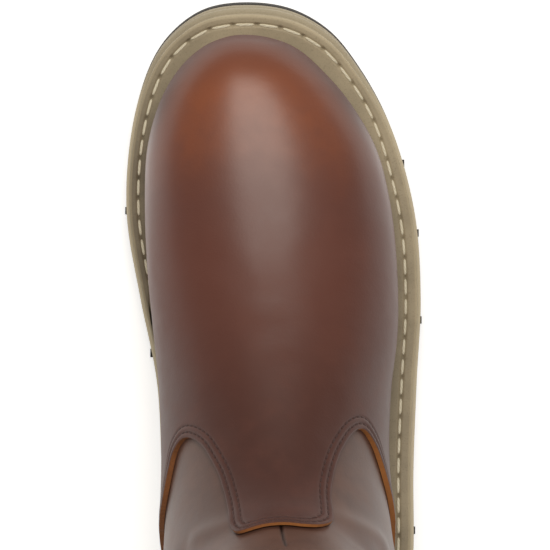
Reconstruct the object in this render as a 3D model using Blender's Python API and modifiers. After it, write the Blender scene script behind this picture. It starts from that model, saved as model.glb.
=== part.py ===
"""Western work boot for the right foot: a pull-on shaft, a scalloped vamp and a welted lug sole.

The boot stands on the floor at z = 0, its toe towards +Y and its outer side towards +X.
Design sizes are in millimetres: x to the outer side, `behind` back from the toe, `up` from the floor.
"""

import math

import bmesh
import bpy
import numpy as np
from mathutils import Vector

# Driving dimensions
MM = 0.001
WELD = 1e-5             # points nearer than this are one
LENGTH = 312.0          # toe to heel along the floor
MIDDLE_X = 2.5          # the middle of the boot's plan, straps included
MIDDLE_BEHIND = 155.2
GAP = 0.3               # between pieces that lie on each other
WELT_GAP = 0.45         # between the welt's inner edge and the leather
WALL = 2.2              # the upper's own wall
OVERLAY = 1.8           # vamp, counter, seam and strap leather
TRIM = 1.0              # collar binding

# Sole layers, measured down from the top of the welt
WELT = 4.0
MIDSOLE = 7.0
OUTSOLE = 4.0
LUG = 6.0
MIDSOLE_TOP = WELT + GAP
MIDSOLE_FOOT = MIDSOLE_TOP + MIDSOLE
OUTSOLE_TOP = MIDSOLE_FOOT + GAP
OUTSOLE_FOOT = OUTSOLE_TOP + OUTSOLE
TREAD = OUTSOLE_FOOT + LUG
HEEL_TOP = OUTSOLE_FOOT + GAP

# Side line of the sole
TOE_SPRING = 11.0       # rise of the welt at the toe
SPRING_END = 62.0       # where the toe starts to rise, behind the toe
PITCH = 18.4            # rise of the welt from ball to heel
PITCH_START = 128.0
PITCH_END = 232.0
HEEL_BREAST = 238.0     # front face of the heel block
SHANK_START = 138.0     # the lugs fade into the arch here
SHANK_END = 158.0
TOE_LUG = 2.5           # lug depth left at the toe tip

# Collar
COLLAR = 262.0          # height at the front and back
COLLAR_RISE = 9.0       # how much higher the sides stand
SEAM_BEHIND = 254.0     # the side seams, behind the toe

# Plan of the sole, laid flat: a row for each station behind the toe
OUTLINE_COLUMNS = ("behind", "medial", "lateral")
OUTLINE = {
    "toe tip": (3.6, -10.5, -10.5),
    "toe bow": (5.9, -27.3, 7.0),
    "toe round": (13.4, -39.6, 21.7),
    "toe": (24.7, -48.6, 32.4),
    "toe root": (47.2, -56.2, 46.1),
    "inner ball": (82.0, -58.9, 56.3),
    "outer ball": (118.0, -53.2, 58.9),
    "arch front": (150.0, -46.6, 57.2),
    "waist": (185.0, -44.4, 55.6),
    "heel breast": (215.0, -42.2, 55.4),
    "heel front": (245.0, -39.4, 53.4),
    "heel": (272.0, -36.2, 49.4),
    "heel round": (296.0, -25.6, 39.0),
    "heel bow": (308.0, -9.0, 22.6),
    "heel end": (311.6, 7.0, 7.0),
}

# Sections of the upper from toe to collar. A section runs from its keel, under the sole or behind the heel,
# to its ridge, on the vamp or the shaft's front. `widest` is the share of that height with the full width;
# `crown` and `base` are the powers of the rounding above and below it.
SECTION_COLUMNS = (
    "ridge_behind", "ridge_up", "keel_behind", "keel_up",
    "medial", "lateral", "middle", "widest", "crown", "base",
)
SECTIONS = {
    "toe tip": (15.4, 40.0, 15.4, 40.0, 0.0, 0.0, -12.0, 0.50, 2.1, 2.2),
    "toe bow": (16.6, 49.0, 16.6, 31.0, 7.4, 10.3, -12.0, 0.50, 2.1, 2.2),
    "toe wall": (20.4, 57.5, 20.4, 22.0, 15.6, 19.9, -11.9, 0.50, 2.15, 2.3),
    "toe front": (28.0, 63.8, 28.0, 13.5, 24.4, 28.2, -11.2, 0.50, 2.2, 2.6),
    "toe cap": (40.0, 68.0, 40.0, 11.0, 33.1, 37.2, -9.6, 0.48, 2.2, 3.0),
    "toe root": (58.0, 71.5, 58.0, 9.6, 40.5, 45.4, -7.2, 0.46, 2.2, 3.4),
    "ball front": (80.0, 75.5, 80.0, 9.6, 44.1, 48.6, -4.6, 0.43, 2.15, 3.6),
    "ball": (105.0, 81.5, 105.0, 9.6, 45.9, 48.4, -1.8, 0.40, 2.1, 3.6),
    "instep front": (130.0, 91.0, 130.0, 9.6, 45.7, 46.4, 0.4, 0.37, 2.05, 3.6),
    "instep": (152.0, 101.5, 154.0, 12.4, 44.8, 42.2, 1.9, 0.35, 2.0, 3.5),
    "throat": (170.5, 112.0, 186.0, 20.5, 44.6, 40.4, 2.8, 0.34, 2.0, 3.3),
    "front bend": (185.5, 123.0, 220.0, 27.2, 45.8, 42.2, 3.5, 0.36, 2.05, 3.1),
    "ankle front": (195.5, 134.5, 254.0, 28.0, 47.2, 44.4, 4.2, 0.40, 2.1, 2.9),
    "heel base": (201.0, 147.0, 285.0, 28.5, 46.4, 45.2, 4.8, 0.43, 2.15, 2.7),
    "heel corner": (203.6, 159.0, 304.0, 36.0, 45.2, 45.0, 5.3, 0.45, 2.2, 2.4),
    "heel": (205.0, 172.0, 308.6, 62.0, 45.0, 45.0, 5.8, 0.47, 2.2, 2.2),
    "heel top": (205.6, 186.0, 306.8, 98.0, 45.8, 45.8, 6.0, 0.48, 2.25, 2.2),
    "ankle": (206.0, 204.0, 304.4, 140.0, 47.4, 47.4, 6.0, 0.49, 2.3, 2.2),
    "calf": (206.2, 228.0, 305.0, 190.0, 49.6, 49.6, 6.0, 0.50, 2.3, 2.2),
    "upper shaft": (206.2, 252.0, 307.4, 235.0, 51.4, 51.4, 6.0, 0.50, 2.3, 2.2),
    "above collar": (206.0, 310.0, 311.4, 310.0, 53.4, 53.4, 6.0, 0.50, 2.3, 2.2),
}
FIRST_RING = 0.25       # the toe is capped this far along the first section
LAST_RING = len(SECTIONS) - 1.0

# The vamp's rear edge, a tongue between two arches and a wing on each side. The columns are the turn from the
# ridge in degrees and the section there, counted from the toe tip.
VAMP_MEDIAL = {
    "tongue middle": (0.0, 12.78),
    "tongue dip": (7.0, 12.80),
    "tongue point": (19.6, 12.93),
    "tongue corner": (22.9, 12.58),
    "tongue side": (23.7, 12.00),
    "tongue waist": (25.7, 11.35),
    "tongue root": (29.5, 10.72),
    "arch rise": (34.5, 10.31),
    "arch shoulder": (41.0, 9.96),
    "arch top": (52.0, 9.80),
    "arch fall": (62.3, 10.00),
    "wing root": (68.3, 10.30),
    "wing": (75.8, 10.65),
    "wing side": (87.0, 10.92),
    "wing tail": (104.0, 11.20),
    "wing foot": (124.0, 11.40),
    "under the sole": (180.0, 11.50),
}
VAMP_LATERAL = {
    "tongue middle": (0.0, 12.78),
    "tongue dip": (6.0, 12.84),
    "tongue point": (13.0, 12.74),
    "tongue corner": (20.6, 12.28),
    "tongue side": (21.6, 11.85),
    "tongue waist": (23.4, 11.06),
    "tongue root": (28.5, 10.42),
    "arch rise": (34.1, 10.03),
    "arch shoulder": (41.0, 9.74),
    "arch top": (48.0, 9.66),
    "arch fall": (58.7, 9.89),
    "wing root": (66.9, 10.18),
    "wing": (74.0, 10.45),
    "wing side": (86.5, 10.78),
    "wing tail": (104.0, 11.14),
    "wing foot": (124.0, 11.40),
    "under the sole": (180.0, 11.50),
}
VAMP_END = 13.0         # the section behind the whole of its edge
VAMP_TURNS = (17.0, 20.0, 22.5, 29.0, 33.0, 45.0)   # columns it has besides the upper's own

# The counter's front and top edge in the side view, from the welt to the back of the heel, as behind and up
COUNTER_EDGE = {
    "welt": (236.5, 20.0),
    "foot": (237.5, 40.0),
    "front": (243.0, 62.0),
    "shoulder": (256.0, 82.0),
    "top": (276.0, 98.0),
    "crest": (296.0, 107.0),
    "back": (320.0, 111.0),
}
COUNTER_SECTIONS = (10.5, 17.5)     # the stretch of the skin that it is cut from

# Pull straps. The line is the middle of the leather, as the rise above the collar and the distance off
# the shaft's skin.
STRAP_WIDTH = 30.0
STRAP_BULGE = 3.0       # the loop swells this far past its legs
STRAP_OUTSIDE = GAP + OVERLAY / 2
STRAP_OVER_TRIM = TRIM + 3 * GAP + OVERLAY / 2
STRAP_INSIDE = -WALL - 2 * GAP - OVERLAY / 2
STRAP_LINE = {
    "outer end": (-56.0, STRAP_OUTSIDE),
    "outer middle": (-34.0, STRAP_OUTSIDE),
    "outer trim": (-11.0, STRAP_OVER_TRIM),
    "outer collar": (2.0, STRAP_OVER_TRIM + 0.4),
    "outer loop": (12.0, STRAP_OVER_TRIM + STRAP_BULGE),
    "outer crown": (21.5, STRAP_OVER_TRIM + 0.4),
    "crown": (24.5, -WALL / 2),
    "inner crown": (21.5, -WALL - STRAP_OVER_TRIM - 0.4),
    "inner loop": (12.0, -WALL - STRAP_OVER_TRIM - STRAP_BULGE),
    "inner collar": (2.0, -WALL - STRAP_OVER_TRIM - 0.4),
    "inner trim": (-11.0, -WALL - STRAP_OVER_TRIM),
    "inner end": (-40.0, STRAP_INSIDE),
}

# Side seams
SEAM_FOOT = 96.0
SEAM_TOP = COLLAR + COLLAR_RISE - 60.0      # just under the strap
SEAM_WIDTH = 6.0
SEAM_LEATHER = 1.2

# Lugs and grooves
LUG_PITCH = 16.0
LUG_GAP = 5.0
LUG_SLANT = 10.0        # how far back a side groove's outer end lies
LUG_FIRST = 20.0
LUG_ROWS = 8
CHANNEL = 19.0          # each lengthwise channel, from the sole's middle
CHANNEL_WIDTH = 4.0
SPUR = 0.8              # lug tips that stand past the midsole
SPUR_LENGTH = 3.0
SPUR_ROOT = 5.0         # how far a spur runs back into the sole
SPURS_LATERAL = (63.0, 91.0, 126.0, 207.0)
SPURS_MEDIAL = (82.0, 138.0)
HEEL_GROOVE = 5.0
HEEL_GROOVES = (256.0, 273.0)
HEEL_KEEL = 12.0        # half the plain strip along the heel's middle
FLOOR = TREAD + PITCH   # depth of the floor under the heel seat
BEYOND = 90.0           # cutters reach this far to each side
CLEAR = 20.0            # and this far past the toe, the heel or the collar
INSOLE_RISE = 1.5       # insole above the welt's top
BINDING_DROP = 9.0

# How finely the curved pieces are divided
AROUND = 28             # columns round the foot
RINGS = 26              # rings from the toe to above the collar
OUTLINE_STEPS = 2       # steps between two outline rows
STRAP_STEPS = 18
STRAP_ACROSS = 4


def place(x, behind, up):
    """A design point in metres, in the boot's own frame."""
    return Vector((x - MIDDLE_X, MIDDLE_BEHIND - behind, up)) * MM


# Smooth curves through table rows

def row_slopes(rows, knots):
    """The slope at each inner row, from the parabola through it and its two neighbours."""
    spans = np.diff(knots)[:, None]
    rises = np.diff(rows, axis=0) / spans
    return (rises[:-1] * spans[1:] + rises[1:] * spans[:-1]) / (spans[:-1] + spans[1:])


class RowCurve:
    """A curve through the rows of a table, read by row number; ghost rows set how it leaves its ends."""

    def __init__(self, rows, before, after, measured):
        table = np.array([before, *rows, after], float)
        steps = np.linalg.norm(np.diff(table[:, measured], axis=0), axis=1)
        self.knots = np.concatenate([[0.0], np.cumsum(np.sqrt(steps))])
        self.slopes = row_slopes(table, self.knots)
        self.rows = table[1:-1]
        self.spans = np.diff(self.knots[1:-1])

    def __call__(self, station):
        first = int(min(max(math.floor(station), 0), len(self.spans) - 1))
        share = station - first
        span = self.spans[first]
        start, end = self.rows[first], self.rows[first + 1]
        start_slope, end_slope = self.slopes[first] * span, self.slopes[first + 1] * span
        square, cube = share * share, share ** 3
        return (
            (2 * cube - 3 * square + 1) * start
            + (cube - 2 * square + share) * start_slope
            + (3 * square - 2 * cube) * end
            + (cube - square) * end_slope
        )


# The sole's side line and its bend

def feather(behind):
    """(height, slope towards the toe) of the welt's top, where the upper meets the sole."""
    toe = max(0.0, 1 - behind / SPRING_END)
    heel = min(max((behind - PITCH_START) / (PITCH_END - PITCH_START), 0.0), 1.0)
    up = TREAD + TOE_SPRING * toe ** 2 + PITCH * heel ** 2 * (3 - 2 * heel)
    toe_slope = 2 * TOE_SPRING * toe / SPRING_END
    heel_slope = 6 * PITCH * heel * (1 - heel) / (PITCH_END - PITCH_START)
    return up, toe_slope - heel_slope


def bent(x, behind, depth):
    """A point of the flat sole, `depth` under the welt's top, bent to the boot's side line."""
    up, slope = feather(behind)
    lean = math.atan(slope)
    return place(x, behind - depth * math.sin(lean), up - depth * math.cos(lean))


# The sole's plan

def side_curve(side):
    """The outline's medial or lateral side from toe to heel, as (behind, x) by row number."""
    own, other = ("medial", "lateral") if side < 0 else ("lateral", "medial")
    pick = {name: OUTLINE_COLUMNS.index(name) for name in OUTLINE_COLUMNS}
    rows = list(OUTLINE.values())
    points = [(row[pick["behind"]], row[pick[own]]) for row in rows]
    across = [(row[pick["behind"]], row[pick[other]]) for row in rows]
    return RowCurve(points, across[1], across[-2], [0, 1])


SIDE_CURVES = {side: side_curve(side) for side in (-1, 1)}
OUTLINE_END = len(OUTLINE) - 1


def edge(side, station, inset):
    """A point of the outline moved inwards by `inset`, as (behind, x)."""
    curve = SIDE_CURVES[side]
    nudge = 0.002
    run, rise = curve(station + nudge) - curve(station - nudge)
    length = math.hypot(run, rise)
    behind, x = curve(station)
    return behind + side * inset * rise / length, x - side * inset * run / length


def outline_station(behind):
    """The row number of the outline at a distance behind the toe."""
    low, high = 0.0, float(OUTLINE_END)
    for _ in range(40):
        middle = (low + high) / 2
        low, high = (middle, high) if SIDE_CURVES[1](middle)[0] < behind else (low, middle)
    return low


# The upper's skin

def section_curve():
    rows = [np.array(row) for row in SECTIONS.values()]
    swapped = rows[1][[2, 3, 0, 1, 4, 5, 6, 7, 8, 9]] * np.array([1, 1, 1, 1, -1, -1, 1, 1, 1, 1])
    return RowCurve(rows, swapped, 2 * rows[-1] - rows[-2], [0, 1, 2, 3, 4, 5])


SECTION_CURVE = section_curve()


def section(station):
    return dict(zip(SECTION_COLUMNS, SECTION_CURVE(station)))


def signed_power(value, power):
    return math.copysign(abs(value) ** power, value)


def bare_skin(station, turn):
    """The upper's outer surface; `turn` is 0 on the ridge, 1/4 on the outer side and 1/2 at the keel."""
    row = section(station)
    up, out = math.cos(2 * math.pi * turn), math.sin(2 * math.pi * turn)
    power = 2 / (row["crown"] if up > 0 else row["base"])
    reach = (1 - row["widest"]) if up > 0 else row["widest"]
    height = row["widest"] + reach * signed_power(up, power)
    half = row["lateral"] if out > 0 else row["medial"]
    return place(
        row["middle"] + half * signed_power(out, power),
        row["keel_behind"] + height * (row["ridge_behind"] - row["keel_behind"]),
        row["keel_up"] + height * (row["ridge_up"] - row["keel_up"]),
    )


def skin(station, turn, grow=0.0):
    """The upper's outer surface, moved outwards along its normal by `grow`."""
    point = bare_skin(station, turn)
    if not grow:
        return point
    nudge = 0.004
    along = bare_skin(min(station + nudge, LAST_RING), turn) - bare_skin(station - nudge, turn)
    around = bare_skin(station, turn + nudge) - bare_skin(station, turn - nudge)
    return point + along.cross(around).normalized() * grow * MM


def side_skin(behind, up, side, grow=0.0):
    """The upper's outer surface at a point of its side view, on the medial or lateral side."""
    low, high = 9.0, LAST_RING
    for _ in range(40):
        station = (low + high) / 2
        row = section(station)
        run = row["keel_behind"] - row["ridge_behind"]
        rise = row["keel_up"] - row["ridge_up"]
        ahead = run * (up - row["ridge_up"]) - rise * (behind - row["ridge_behind"])
        low, high = (station, high) if ahead > 0 else (low, station)
    share = 1 - math.hypot(behind - row["ridge_behind"], up - row["ridge_up"]) / math.hypot(run, rise)
    crown = share > row["widest"]
    reach = (1 - row["widest"]) if crown else row["widest"]
    power = row["crown"] if crown else row["base"]
    level = min(abs(share - row["widest"]) / reach, 1.0)
    turn = math.acos(level ** (power / 2)) / (2 * math.pi)
    turn = turn if crown else 0.5 - turn
    return skin(station, side * turn, grow)


# Mesh helpers

BOOT_COLLECTION = "western_work_boot"
CUTTER_COLLECTION = "cutters"


def start_scene():
    """An empty scene with a collection for the boot and one for its cutters."""
    for old in list(bpy.data.objects):
        bpy.data.objects.remove(old, do_unlink=True)
    for name in (BOOT_COLLECTION, CUTTER_COLLECTION):
        bpy.context.scene.collection.children.link(bpy.data.collections.new(name))


def finish_mesh(name, bm, made_of=None, facing=True):
    """Turns a bmesh into a named object, welded and facing out. With no material it is a cutter."""
    bmesh.ops.remove_doubles(bm, verts=bm.verts, dist=WELD)
    bmesh.ops.dissolve_degenerate(bm, edges=bm.edges, dist=WELD)
    if facing:
        bmesh.ops.recalc_face_normals(bm, faces=bm.faces)
    mesh = bpy.data.meshes.new(name)
    bm.to_mesh(mesh)
    bm.free()
    obj = bpy.data.objects.new(name, mesh)
    if made_of is None:
        obj.hide_render = True
        obj.display_type = "WIRE"
        bpy.data.collections[CUTTER_COLLECTION].objects.link(obj)
    else:
        mesh.materials.append(made_of)
        mesh.shade_smooth()
        mesh.set_sharp_from_angle(angle=math.radians(35))
        bpy.data.collections[BOOT_COLLECTION].objects.link(obj)
    return obj


def wrap_grid(bm, along, around, point):
    """Lays a grid on point(u, v), both from 0 to 1, with u along the grid and v around it."""
    grid = bmesh.ops.create_grid(bm, x_segments=along, y_segments=around, size=1.0)
    for vert in grid["verts"]:
        u, v = (vert.co.x + 1) / 2, (vert.co.y + 1) / 2
        vert.co = point(u, v)
    bmesh.ops.remove_doubles(bm, verts=bm.verts, dist=WELD)


def cap_ends(bm):
    open_edges = [e for e in bm.edges if e.is_boundary]
    bmesh.ops.holes_fill(bm, edges=open_edges, sides=0)


def cut(obj, cutter, operation="DIFFERENCE"):
    modifier = obj.modifiers.new(cutter.name, "BOOLEAN")
    modifier.operation = operation
    modifier.object = cutter


def thicken(obj, thickness, outwards):
    modifier = obj.modifiers.new("leather", "SOLIDIFY")
    modifier.thickness = thickness * MM
    modifier.offset = 1.0 if outwards else -1.0
    modifier.use_even_offset = not outwards


def material(name, colour, roughness, metallic=0.0):
    made = bpy.data.materials.new(name)
    made.use_nodes = True
    made.diffuse_color = (*colour, 1.0)
    shader = made.node_tree.nodes["Principled BSDF"]
    shader.inputs["Base Color"].default_value = (*colour, 1.0)
    shader.inputs["Roughness"].default_value = roughness
    shader.inputs["Metallic"].default_value = metallic
    return made


# Forms and cutters that several pieces share

def ring_station(share):
    """Rings spread evenly over the rows from the toe cap to above the collar."""
    return FIRST_RING + share * (LAST_RING - FIRST_RING)


def boot_form(name, grow):
    """A closed solid of the whole foot and shaft, its skin moved outwards by `grow`."""
    bm = bmesh.new()
    wrap_grid(bm, RINGS, AROUND, lambda u, v: skin(ring_station(u), v, grow))
    cap_ends(bm)
    return finish_mesh(name, bm)


def add_closed(bm, along, around, point):
    """Adds one closed body to a mesh that may hold several."""
    body = bmesh.new()
    wrap_grid(body, along, around, point)
    cap_ends(body)
    bmesh.ops.recalc_face_normals(body, faces=body.faces)
    mesh = bpy.data.meshes.new("body")
    body.to_mesh(mesh)
    body.free()
    bm.from_mesh(mesh)
    bpy.data.meshes.remove(mesh)


def bent_block(bm, fore, aft, inner, outer, top, foot, steps=1, skew=0.0):
    """A block of the flat sole between two depths, bent with the sole; `skew` slides its outer end back."""
    corners = ((inner, top, 0.0), (outer, top, skew), (outer, foot, skew), (inner, foot, 0.0))

    def point(u, v):
        x, depth, slide = corners[round(v * 4) % 4]
        return bent(x, fore + u * (aft - fore) + slide, depth)

    add_closed(bm, steps, 4, point)


def under_foot():
    """Everything below the upper's bottom edge."""
    bm = bmesh.new()
    bent_block(bm, -CLEAR, LENGTH + CLEAR, -BEYOND, BEYOND, WELT, WELT + 2 * CLEAR, steps=72)
    return finish_mesh("under_foot", bm)


def collar_height(behind):
    """The collar's line in the side view: low at the front and back, high at the sides."""
    front, back = section(LAST_RING)["ridge_behind"], section(LAST_RING)["keel_behind"]
    share = min(max((behind - front) / (back - front), 0.0), 1.0)
    return COLLAR + COLLAR_RISE * math.sin(math.pi * share) ** 2


def above_collar():
    """Everything above the collar's line."""
    fore, aft = section(LAST_RING)["ridge_behind"] - CLEAR, LENGTH + CLEAR
    top = COLLAR + COLLAR_RISE + 2 * CLEAR

    def point(u, v):
        behind = fore + u * (aft - fore)
        low = collar_height(behind)
        x, up = ((-BEYOND, low), (BEYOND, low), (BEYOND, top), (-BEYOND, top))[round(v * 4) % 4]
        return place(x, behind, up)

    bm = bmesh.new()
    add_closed(bm, RINGS, 4, point)
    return finish_mesh("above_collar", bm)


def side_prism(name, outline, inner, outer):
    """A side-view outline, as (behind, up), pushed through from one x to another."""
    bm = bmesh.new()
    face = bm.faces.new([bm.verts.new(place(inner, behind, up)) for behind, up in outline])
    pushed = bmesh.ops.extrude_face_region(bm, geom=[face])
    moved = [item for item in pushed["geom"] if isinstance(item, bmesh.types.BMVert)]
    bmesh.ops.translate(bm, verts=moved, vec=Vector(((outer - inner) * MM, 0, 0)))
    return finish_mesh(name, bm)


def ring_number(station):
    return round((station - FIRST_RING) / (LAST_RING - FIRST_RING) * RINGS)


def finish_sleeve(name, bm, made_of):
    """Turns an open sleeve into an object that faces away from the foot."""
    bmesh.ops.recalc_face_normals(bm, faces=bm.faces)
    foremost = max(bm.faces, key=lambda face: face.calc_center_median().y)
    if foremost.normal.y < 0:
        bmesh.ops.reverse_faces(bm, faces=bm.faces)
    return finish_mesh(name, bm, made_of, facing=False)


def tube(name, first, last, grow, made_of):
    """An open sleeve of the skin, on the same rings and columns as the upper itself."""
    low, high = ring_number(first), ring_number(last)

    def point(u, v):
        return skin(ring_station((low + u * (high - low)) / RINGS), v, grow)

    bm = bmesh.new()
    wrap_grid(bm, high - low, AROUND, point)
    if low == 0:
        toe = [e for e in bm.edges if e.is_boundary and e.verts[0].co.y > 0]
        bmesh.ops.holes_fill(bm, edges=toe, sides=0)
    return finish_sleeve(name, bm, made_of)


# Pieces of the upper

def make_upper(made_of, cutters):
    upper = tube("upper", FIRST_RING, LAST_RING, 0.0, made_of)
    thicken(upper, WALL, outwards=False)
    cut(upper, cutters["under_foot"])
    cut(upper, cutters["above_collar"])


def vamp_edge(turn):
    """The section at which the vamp ends, for a turn from the ridge in degrees, medial below nought."""
    rows = list((VAMP_MEDIAL if turn < 0 else VAMP_LATERAL).values())
    turns, stations = zip(*rows)
    return float(np.interp(abs(turn), turns, stations))


def make_vamp(made_of, cutters):
    """The vamp lies on the upper's own rings; the rings behind its edge are drawn together on the edge."""
    last = ring_number(VAMP_END)
    half = sorted([*VAMP_TURNS, *(360 * column / AROUND for column in range(AROUND // 2 + 1))])
    columns = [-turn for turn in half[:0:-1]] + half

    def point(u, v):
        turn = columns[round(v * (len(columns) - 1))]
        station = min(ring_station(round(u * last) / RINGS), vamp_edge(turn))
        return skin(station, turn / 360, GAP)

    bm = bmesh.new()
    wrap_grid(bm, last, len(columns) - 1, point)
    toe = [e for e in bm.edges if e.is_boundary and e.verts[0].co.y > 0.1]
    bmesh.ops.holes_fill(bm, edges=toe, sides=0)
    vamp = finish_sleeve("vamp", bm, made_of)
    thicken(vamp, OVERLAY, outwards=True)
    cut(vamp, cutters["under_foot"])


def make_counter(made_of, cutters):
    rows = list(COUNTER_EDGE.values())
    curve = RowCurve(rows, 2 * np.array(rows[0]) - rows[1], 2 * np.array(rows[-1]) - rows[-2], [0, 1])
    outline = [tuple(curve(k / 3)) for k in range(3 * (len(rows) - 1) + 1)]
    below = rows[0][1] - 5.0
    outline += [(rows[-1][0], below), (rows[0][0], below)]
    counter = tube("heel_counter", *COUNTER_SECTIONS, GAP, made_of)
    thicken(counter, OVERLAY, outwards=True)
    cut(counter, side_prism("counter_outline", outline, -BEYOND, BEYOND), "INTERSECT")
    cut(counter, cutters["under_foot"])


def make_side_seam(name, side, made_of):
    """A strip down one side of the shaft, from under its strap towards the counter."""
    fore, aft = SEAM_BEHIND - SEAM_WIDTH / 2, SEAM_BEHIND + SEAM_WIDTH / 2
    outline = [(fore, SEAM_FOOT), (fore, SEAM_TOP), (aft, SEAM_TOP), (aft, SEAM_FOOT)]
    seam = tube(name, 12.0, LAST_RING, GAP, made_of)
    thicken(seam, SEAM_LEATHER, outwards=True)
    cut(seam, side_prism(name + "_outline", outline, side * SEAM_WIDTH * 2, side * BEYOND), "INTERSECT")


def collar_frame(turn):
    """(point, outward, up) on the collar's line."""
    low, high = 17.0, LAST_RING
    for _ in range(40):
        station = (low + high) / 2
        point = bare_skin(station, turn)
        behind = MIDDLE_BEHIND - point.y / MM
        low, high = (station, high) if point.z / MM < collar_height(behind) else (low, station)
    up = (bare_skin(station, turn) - bare_skin(station - 0.1, turn)).normalized()
    outward = (skin(station, turn, 1.0) - point).normalized()
    return point, outward, up


def make_binding(made_of):
    """A U of thin leather over the collar's edge."""
    drop = BINDING_DROP
    out, inside = GAP + TRIM, WALL + GAP + TRIM
    roof = 2 * GAP
    profile = ((GAP, -drop), (out, -drop), (out, roof + TRIM), (-inside, roof + TRIM), (-inside, -drop),
               (TRIM - inside, -drop), (TRIM - inside, roof), (GAP, roof))

    def point(u, v):
        base, outward, up = collar_frame(u)
        off, rise = profile[round(v * len(profile)) % len(profile)]
        return base + (outward * off + up * rise) * MM

    bm = bmesh.new()
    wrap_grid(bm, AROUND, len(profile), point)
    finish_mesh("collar_binding", bm, made_of)


def make_strap(name, side, made_of):
    """A pull strap that runs up outside the shaft, loops over the collar and runs down inside."""
    rows = list(STRAP_LINE.values())
    curve = RowCurve(rows, 2 * np.array(rows[0]) - rows[1], 2 * np.array(rows[-1]) - rows[-2], [0, 1])
    across = STRAP_ACROSS
    collar = collar_height(SEAM_BEHIND)

    def point(u, v):
        station = u * (len(rows) - 1)
        rise, off = curve(station)
        run = curve(station + 0.01) - curve(station - 0.01)
        run /= np.linalg.norm(run)
        step = round(v * 2 * (across + 1)) % (2 * (across + 1))
        face = 1 if step <= across else -1
        share = step / across if face > 0 else 1 - (step - across - 1) / across
        behind = SEAM_BEHIND + (share - 0.5) * STRAP_WIDTH
        half = face * OVERLAY / 2
        return side_skin(behind, collar + rise - half * run[1], side, off + half * run[0])

    bm = bmesh.new()
    wrap_grid(bm, STRAP_STEPS, 2 * (across + 1), point)
    cap_ends(bm)
    finish_mesh(name, bm, made_of)


# Pieces of the sole

def sole_layer(bm, profile, fore=0.0, aft=OUTLINE_END):
    """A layer of the sole. The profile lists its side from top to foot as (depth, inset)."""
    count = len(profile)
    steps = round((aft - fore) * OUTLINE_STEPS)

    def point(u, v):
        row = round(v * 2 * count) % (2 * count)
        side = 1 if row < count else -1
        depth, inset = profile[row if side > 0 else 2 * count - 1 - row]
        station = fore + u * (aft - fore)
        if callable(depth):
            flat = SIDE_CURVES[side](station)[0]
            depth, inset = depth(flat), inset(flat)
        behind, x = edge(side, station, inset)
        return bent(x, behind, depth)

    wrap_grid(bm, steps, 2 * count, point)
    cap_ends(bm)


def make_welt(made_of):
    bm = bmesh.new()
    sole_layer(bm, ((0.0, 2.2), (0.8, 1.4), (WELT - 0.6, 1.4), (WELT, 1.8)))
    welt = finish_mesh("welt", bm, made_of)
    cut(welt, boot_form("foot_of_the_upper", GAP + OVERLAY + WELT_GAP))


def make_midsole(made_of):
    bm = bmesh.new()
    sole_layer(bm, (
        (MIDSOLE_TOP, 0.9), (MIDSOLE_TOP + 0.9, 0.0), (MIDSOLE_TOP + 2.6, 0.0), (MIDSOLE_TOP + 3.2, 0.7),
        (MIDSOLE_TOP + 4.0, 0.0), (MIDSOLE_FOOT, 0.1),
    ))
    finish_mesh("midsole", bm, made_of)


def tread_depth(behind):
    """How far under the welt the outsole's ground face lies."""
    toe = max(0.0, 1 - behind / SPRING_END)
    shank = min(max((behind - SHANK_START) / (SHANK_END - SHANK_START), 0.0), 1.0)
    lug = LUG - (LUG - TOE_LUG) * toe
    return OUTSOLE_FOOT + lug * (1 - shank * shank * (3 - 2 * shank))


def tread_cutter():
    """Cross grooves out to both edges, two lengthwise channels and offset grooves between them."""
    bm = bmesh.new()
    foot = TREAD + 4.0
    for row in range(LUG_ROWS):
        fore = LUG_FIRST + row * LUG_PITCH
        middle = section_middle(fore)
        for side in (-1, 1):
            inner = middle + side * (CHANNEL - CHANNEL_WIDTH / 2)
            bent_block(bm, fore, fore + LUG_GAP, inner, side * BEYOND, OUTSOLE_FOOT, foot, skew=LUG_SLANT)
        if row < LUG_ROWS - 1:
            fore += LUG_PITCH / 2
            inner = CHANNEL - CHANNEL_WIDTH / 2
            bent_block(bm, fore, fore + LUG_GAP, middle - inner, middle + inner, OUTSOLE_FOOT, foot)
    return finish_mesh("tread_cutter", bm)


def channel_cutter():
    bm = bmesh.new()
    fore, aft = LUG_FIRST - 3.0, LUG_FIRST + (LUG_ROWS - 1) * LUG_PITCH + LUG_GAP - 1.3
    for side in (-1, 1):
        top, foot = OUTSOLE_FOOT + 0.4, TREAD + 3.5
        corners = ((0.0, top), (CHANNEL_WIDTH, top), (CHANNEL_WIDTH, foot), (0.0, foot))

        def point(u, v):
            across, depth = corners[round(v * 4) % 4]
            behind = fore + u * (aft - fore)
            return bent(section_middle(behind) + side * (CHANNEL - across), behind, depth)

        add_closed(bm, 12, 4, point)
    return finish_mesh("channel_cutter", bm)


def section_middle(behind):
    """The sole's middle line."""
    station = outline_station(behind)
    return (SIDE_CURVES[-1](station)[1] + SIDE_CURVES[1](station)[1]) / 2


def lug_spurs():
    bm = bmesh.new()
    for side, places in ((1, SPURS_LATERAL), (-1, SPURS_MEDIAL)):
        for behind in places:
            station = outline_station(behind)
            x = SIDE_CURVES[side](station)[1]
            fore, aft = behind - SPUR_LENGTH / 2, behind + SPUR_LENGTH / 2
            inner, outer = x - side * SPUR_ROOT, x + side * SPUR
            bent_block(bm, fore, aft, inner, outer, OUTSOLE_TOP + 1.0, OUTSOLE_FOOT - 0.5)
    return finish_mesh("lug_spurs", bm)


def tread_inset(behind):
    """The ground edge tucks in round the toe."""
    return 0.6 + 2.6 * max(0.0, 1 - behind / SPRING_END) ** 2


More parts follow.
